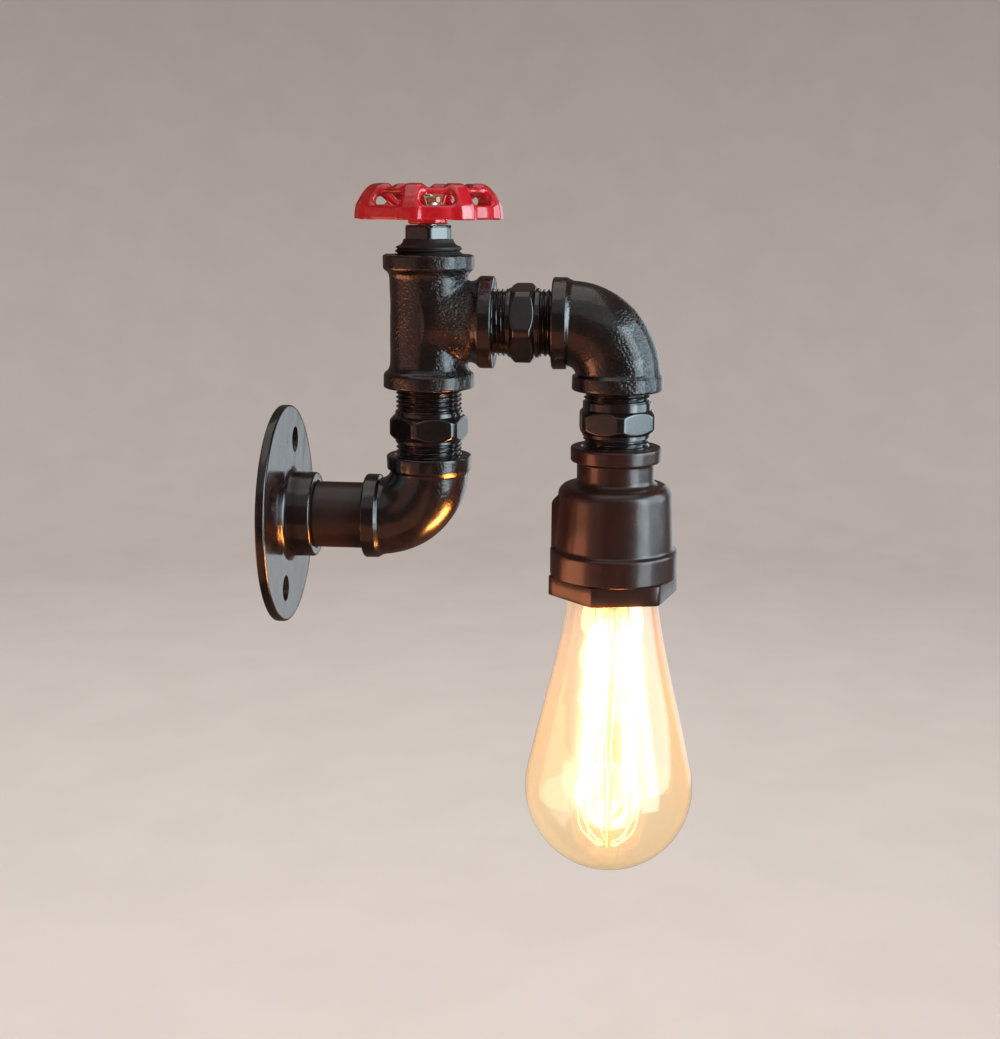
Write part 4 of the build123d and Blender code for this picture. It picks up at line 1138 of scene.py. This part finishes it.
def makeCap():
    low, high, crest = capLow[2], capHigh[2], cap["crest"]
    root = crest - cap["depth"]
    rings = Rings(evenTurns(cap["sides"]))
    rings.addAll((crest + 0.08, low), (crest + 0.02, low + 0.4))
    for z in np.arange(low + 2.0, high - 1.6, cap["row"]):
        fade = min(1.0, (z - low - 1.8) / cap["runOut"], (high - 1.3 - z) / cap["runOut"])
        phase = z / cap["pitch"] * tau - rings.turn
        rings.add(crest - cap["depth"] * fade * (0.5 - 0.5 * np.cos(phase)), z)
    rings.addAll((root - 0.2, high), (root - cap["wall"] - 0.4, high), (root - cap["wall"] - 0.02, low))
    addGrid("bulb_cap", "bulb", "cap_metal", hangs(rings.grid()), 40)


makeCap()

filament = {
    # radii of the two circles that it runs between, and their drops below the reducer's top
    "topRadius": 7.4, "topDrop": 75.0, "bottomRadius": 12.3, "bottomDrop": 152.0, "legs": 8,
    "wire": 0.42, "support": 0.26, "lead": 0.36, "buttonDrop": 169.0,
}
stem = {
    "flareRadius": 10.5, "throat": 5.4, "throatDrop": 9.0, "rod": 1.6, "pinch": 4.6, "button": 2.8,
    "edges": (0, 0.3, 0.5, 5, 2, 1.8, 2.0, 1.2, 1.3, 1.5, 0), "row": 1.5, "sides": 48,
}


def makeStem():
    shape = stem
    flare = capLow[2] + 3.0
    pinch = reducerHigh[2] - filament["topDrop"] + 4.5
    button = reducerHigh[2] - filament["buttonDrop"]
    corners = [(0, flare), (shape["flareRadius"], flare), (shape["flareRadius"], flare - 1.2),
               (shape["throat"], flare - shape["throatDrop"]), (shape["pinch"], pinch + 4),
               (shape["pinch"], pinch), (shape["rod"], pinch - 2.5), (shape["rod"] - 0.1, button + 4.5),
               (shape["button"], button + 2.2), (shape["button"], button - 1), (0, button - 2)]
    outline = divided(rounded(corners, shape["edges"], 6, False), shape["row"], False)
    grid = hangs(turnedGrid(outline, shape["sides"]))
    addGrid("bulb_stem", "bulb", "clear_glass", grid, 60, False)


makeStem()


def onCircle(radius, angle, height):
    return (radius * math.cos(angle), lampY + radius * math.sin(angle), height)


def wirePiece(node, runs, radius, slot, smooth):
    # round wires, a spline for each run
    name = node + "_piece"
    curve = bpy.data.curves.new(name, "CURVE")
    curve.dimensions = "3D"
    curve.bevel_depth = radius * mm
    curve.bevel_resolution = 3
    curve.resolution_u = 8
    curve.use_fill_caps = True
    for run in runs:
        spline = curve.splines.new("NURBS" if smooth else "POLY")
        spline.points.add(len(run) - 1)
        for point, place in zip(spline.points, run):
            point.co = (*[c * mm for c in place], 1.0)
        if smooth:
            spline.order_u = 3
            spline.use_endpoint_u = True
    piece = linked(name, curve)
    mesh = bpy.data.meshes.new_from_object(piece.evaluated_get(bpy.context.evaluated_depsgraph_get()))
    bpy.data.objects.remove(piece)
    mesh.name = name
    mesh.shade_smooth()
    dress(linked(name, mesh), "bulb", slot, node)


def makeFilament():
    shape = filament
    top, bottom, button = (reducerHigh[2] - shape[at + "Drop"] for at in ("top", "bottom", "button"))
    upper, lower = shape["topRadius"], shape["bottomRadius"]
    step = tau / (shape["legs"] + 1)
    zigzag = [onCircle(upper, 0, top)]
    for leg in range(shape["legs"]):
        zigzag += [onCircle(lower, (leg + 0.5) * step, bottom), onCircle(upper, (leg + 1) * step, top)]
    # the supports end in hooks round the wire
    gap = shape["wire"] + shape["support"]
    topHook = [(3.6, top + 7.0), (5.4, top + 5.4), (upper - 0.9, top + 2.6), (upper + 0.3, top + 0.9),
               (upper + 0.5, top - 0.4), (upper - gap, top - 0.5), (upper - gap - 0.1, top + 0.5)]
    bottomHook = [(2.2, button), (5.0, button - 0.6), (lower - 3.4, button + 3.0),
                  (lower - 0.4, button + 7.0), (lower + 0.5, bottom - 3.0), (lower + 0.5, bottom + 0.3),
                  (lower - gap, bottom + 0.6), (lower - gap, bottom - 0.5)]
    lead = [(2.6, top + 6.5), (3.2, top + 3.6), (5.0, top + 1.4), (upper, top)]

    def placed(form, legs):
        return [[onCircle(radius, leg * step, z) for radius, z in form] for leg in legs]

    hooks = placed(topHook, range(1, shape["legs"]))
    hooks += placed(bottomHook, np.arange(shape["legs"]) + 0.5)
    wirePiece("bulb_filament", [zigzag], shape["wire"], "filament", False)
    wirePiece("bulb_supports", hooks, shape["support"], "support_wire", True)
    wirePiece("bulb_leads", placed(lead, (0, shape["legs"])), shape["lead"], "support_wire", True)


makeFilament()
print("bulb made")


# ---- pieces that keep their own form, with a finish

def dressNodes():
    slots = {part["node"]: part["material_slot"] for part in frame["record"]["subparts"]}
    for name, node in frame["nodes"].items():
        if node.hide_render:
            continue
        node.data.materials.clear()
        node.data.materials.append(finishes[slots[name]])


dressNodes()
print("kept nodes dressed")


# ---- studio, in metres

studio = {
    "floorZ": -0.62, "flatRadius": 1.2, "wallRadius": 3.8, "wallHeight": 3.4, "wallBend": 2.3, "sides": 96,
    "floorColour": rgb(0.86, 0.81, 0.77), "floorShade": rgb(0.83, 0.78, 0.74),
    "world": rgb(0.60, 0.42, 0.36), "worldStrength": 0.15,
}

studioLights = [
    # name, place, target, size, watts, colour, what it lights
    ("windowRight", (-0.1, -1.5, 0.4), (0, -0.08, 0.03), (1.7, 1.3), 26.0, (0.66, 0.88, 1.0), "object"),
    ("windowFront", (-0.66, -1.25, 0.15), (0, -0.1, -0.02), (0.6, 1.5), 12.0, (0.80, 0.94, 1.0), "object"),
    ("panelBehind", (1.5, -0.75, -0.1), (0, -0.05, 0.0), (0.9, 1.1), 2.9, (0.80, 0.93, 1.0), "object"),
    ("warmLeft", (-0.9, 1.3, -0.1), (0, -0.08, 0.0), (2.4, 1.4), 3.6, (1.0, 0.54, 0.46), "object"),
    ("warmCard", (-0.12, 0.42, -0.2), (0, -0.136, -0.05), (0.55, 0.26), 1.9, (1.0, 0.34, 0.15), "object"),
    ("warmBelow", (-1.1, 0.40, -0.95), (0, -0.08, -0.02), (2.4, 1.2), 4.2, (1.0, 0.34, 0.18), "object"),
    ("softTop", (0.2, 0.0, 1.9), (0, -0.08, 0.05), (1.9, 1.9), 8.0, (1.0, 0.97, 0.94), "object"),
    ("topFront", (-0.9, -0.1, 1.3), (0, -0.08, 0.0), (2.4, 1.4), 3.0, (0.90, 0.97, 1.0), "object"),
    ("floorWash", (0.0, 0.0, 2.6), (0, 0, 0), (4.2, 4.2), 128.0, (1.0, 0.98, 0.96), "floor"),
]

# drops below the reducer's top in millimetres, radius in metres
bulbLight = {"watts": 0.85, "colour": (1.0, 0.33, 0.075), "radius": 0.019, "drops": (88.0, 112.0, 136.0)}


def makeFloor():
    wall, rise = studio["wallRadius"], studio["wallHeight"]
    corners = [(0.0, 0.0), (studio["flatRadius"], 0.0), (wall, 0.0), (wall, rise)]
    outline = divided(rounded(corners, [0, 0, studio["wallBend"], 0], 24, False), 0.2, False)
    grid = turnedGrid(outline, studio["sides"]) + np.array([0, 0, studio["floorZ"]])
    mesh = newMesh("studioFloor", grid / mm, gridFaces(*grid.shape[:2], False), 1e-5)
    mesh.shade_smooth()
    floor = linked("studioFloor", mesh)
    card = Finish("studioCard")
    mottle = card.noise(120.0, 3.0, 0.5)
    tone = card.mix(mottle.between(0.3, 0.7), studio["floorColour"], studio["floorShade"])
    mesh.materials.append(card.painted(baseColor=tone, roughness=0.85))
    # the paint mirrors the lights and not the card, which throws no light back at it either
    floor.visible_glossy = False
    floor.visible_diffuse = False
    return floor


def makeStudio(floor):
    world = bpy.data.worlds.new("studioWorld")
    world.use_nodes = True
    sky = world.node_tree.nodes["Background"]
    sky.inputs["Color"].default_value = studio["world"]
    sky.inputs["Strength"].default_value = studio["worldStrength"]
    bpy.context.scene.world = world
    names = {"floor": "floorOnly", "object": "allButFloor"}
    receivers = {lit: bpy.data.collections.new(name) for lit, name in names.items()}
    for receiver in receivers.values():
        receiver.objects.link(floor)
    receivers["object"].collection_objects[0].light_linking.link_state = "EXCLUDE"
    for name, place, target, size, watts, colour, lit in studioLights:
        lamp = bpy.data.lights.new(name, "AREA")
        lamp.shape = "RECTANGLE"
        lamp.size, lamp.size_y = size
        lamp.energy = watts
        lamp.color = colour
        holder = linked(name, lamp)
        holder.location = place
        holder.rotation_euler = (Vector(target) - Vector(place)).to_track_quat("-Z", "Y").to_euler()
        holder.visible_camera = False
        holder.light_linking.receiver_collection = receivers[lit]
    # the long filament as a few soft lamps along it; its own wire lights only the floor
    bpy.data.objects["bulb_filament_piece"].light_linking.receiver_collection = receivers["floor"]
    for drop in bulbLight["drops"]:
        lamp = bpy.data.lights.new("filamentLight", "POINT")
        lamp.energy = bulbLight["watts"]
        lamp.color = bulbLight["colour"]
        lamp.shadow_soft_size = bulbLight["radius"]
        holder = linked("filamentLight", lamp)
        holder.location = (0, lampY * mm, (reducerHigh[2] - drop) * mm)
        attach(holder, "bulb")


makeStudio(makeFloor())

camera = {
    "place": (-0.59237, -0.14559, 0.12741), "yaw": 5.355, "down": 12.122, "roll": 0.378,
    "lens": 54.04, "sensor": 36.0,
}


def makeCamera():
    lens = bpy.data.cameras.new("photoCamera")
    lens.sensor_fit = "HORIZONTAL"
    lens.sensor_width = camera["sensor"]
    lens.lens = camera["lens"]
    lens.clip_start = 0.01
    holder = linked("photoCamera", lens)
    holder.location = camera["place"]
    # looks along +X, turned towards +Y and down
    yaw, down = math.radians(camera["yaw"]), math.radians(camera["down"])
    forward = Vector((math.cos(yaw) * math.cos(down), math.sin(yaw) * math.cos(down), -math.sin(down)))
    holder.rotation_euler = forward.to_track_quat("-Z", "Y").to_euler()
    holder.rotation_euler.rotate_axis("Z", math.radians(camera["roll"]))
    bpy.context.scene.camera = holder


makeCamera()
bpy.context.scene.view_settings.view_transform = "Standard"

bloom = {"Threshold": 3.0, "Strength": 0.45, "Size": 0.03}


def makeBloom():
    # the lens's soft halo round the bright filament
    scene = bpy.context.scene
    scene.use_nodes = True
    tree = scene.node_tree
    tree.nodes.clear()
    layers = tree.nodes.new("CompositorNodeRLayers")
    halo = tree.nodes.new("CompositorNodeGlare")
    halo.glare_type = "BLOOM"
    halo.quality = "HIGH"
    for socket, value in bloom.items():
        halo.inputs[socket].default_value = value
    out = tree.nodes.new("CompositorNodeComposite")
    tree.links.new(layers.outputs["Image"], halo.inputs["Image"])
    tree.links.new(halo.outputs["Image"], out.inputs["Image"])


makeBloom()
print("studio and camera made")
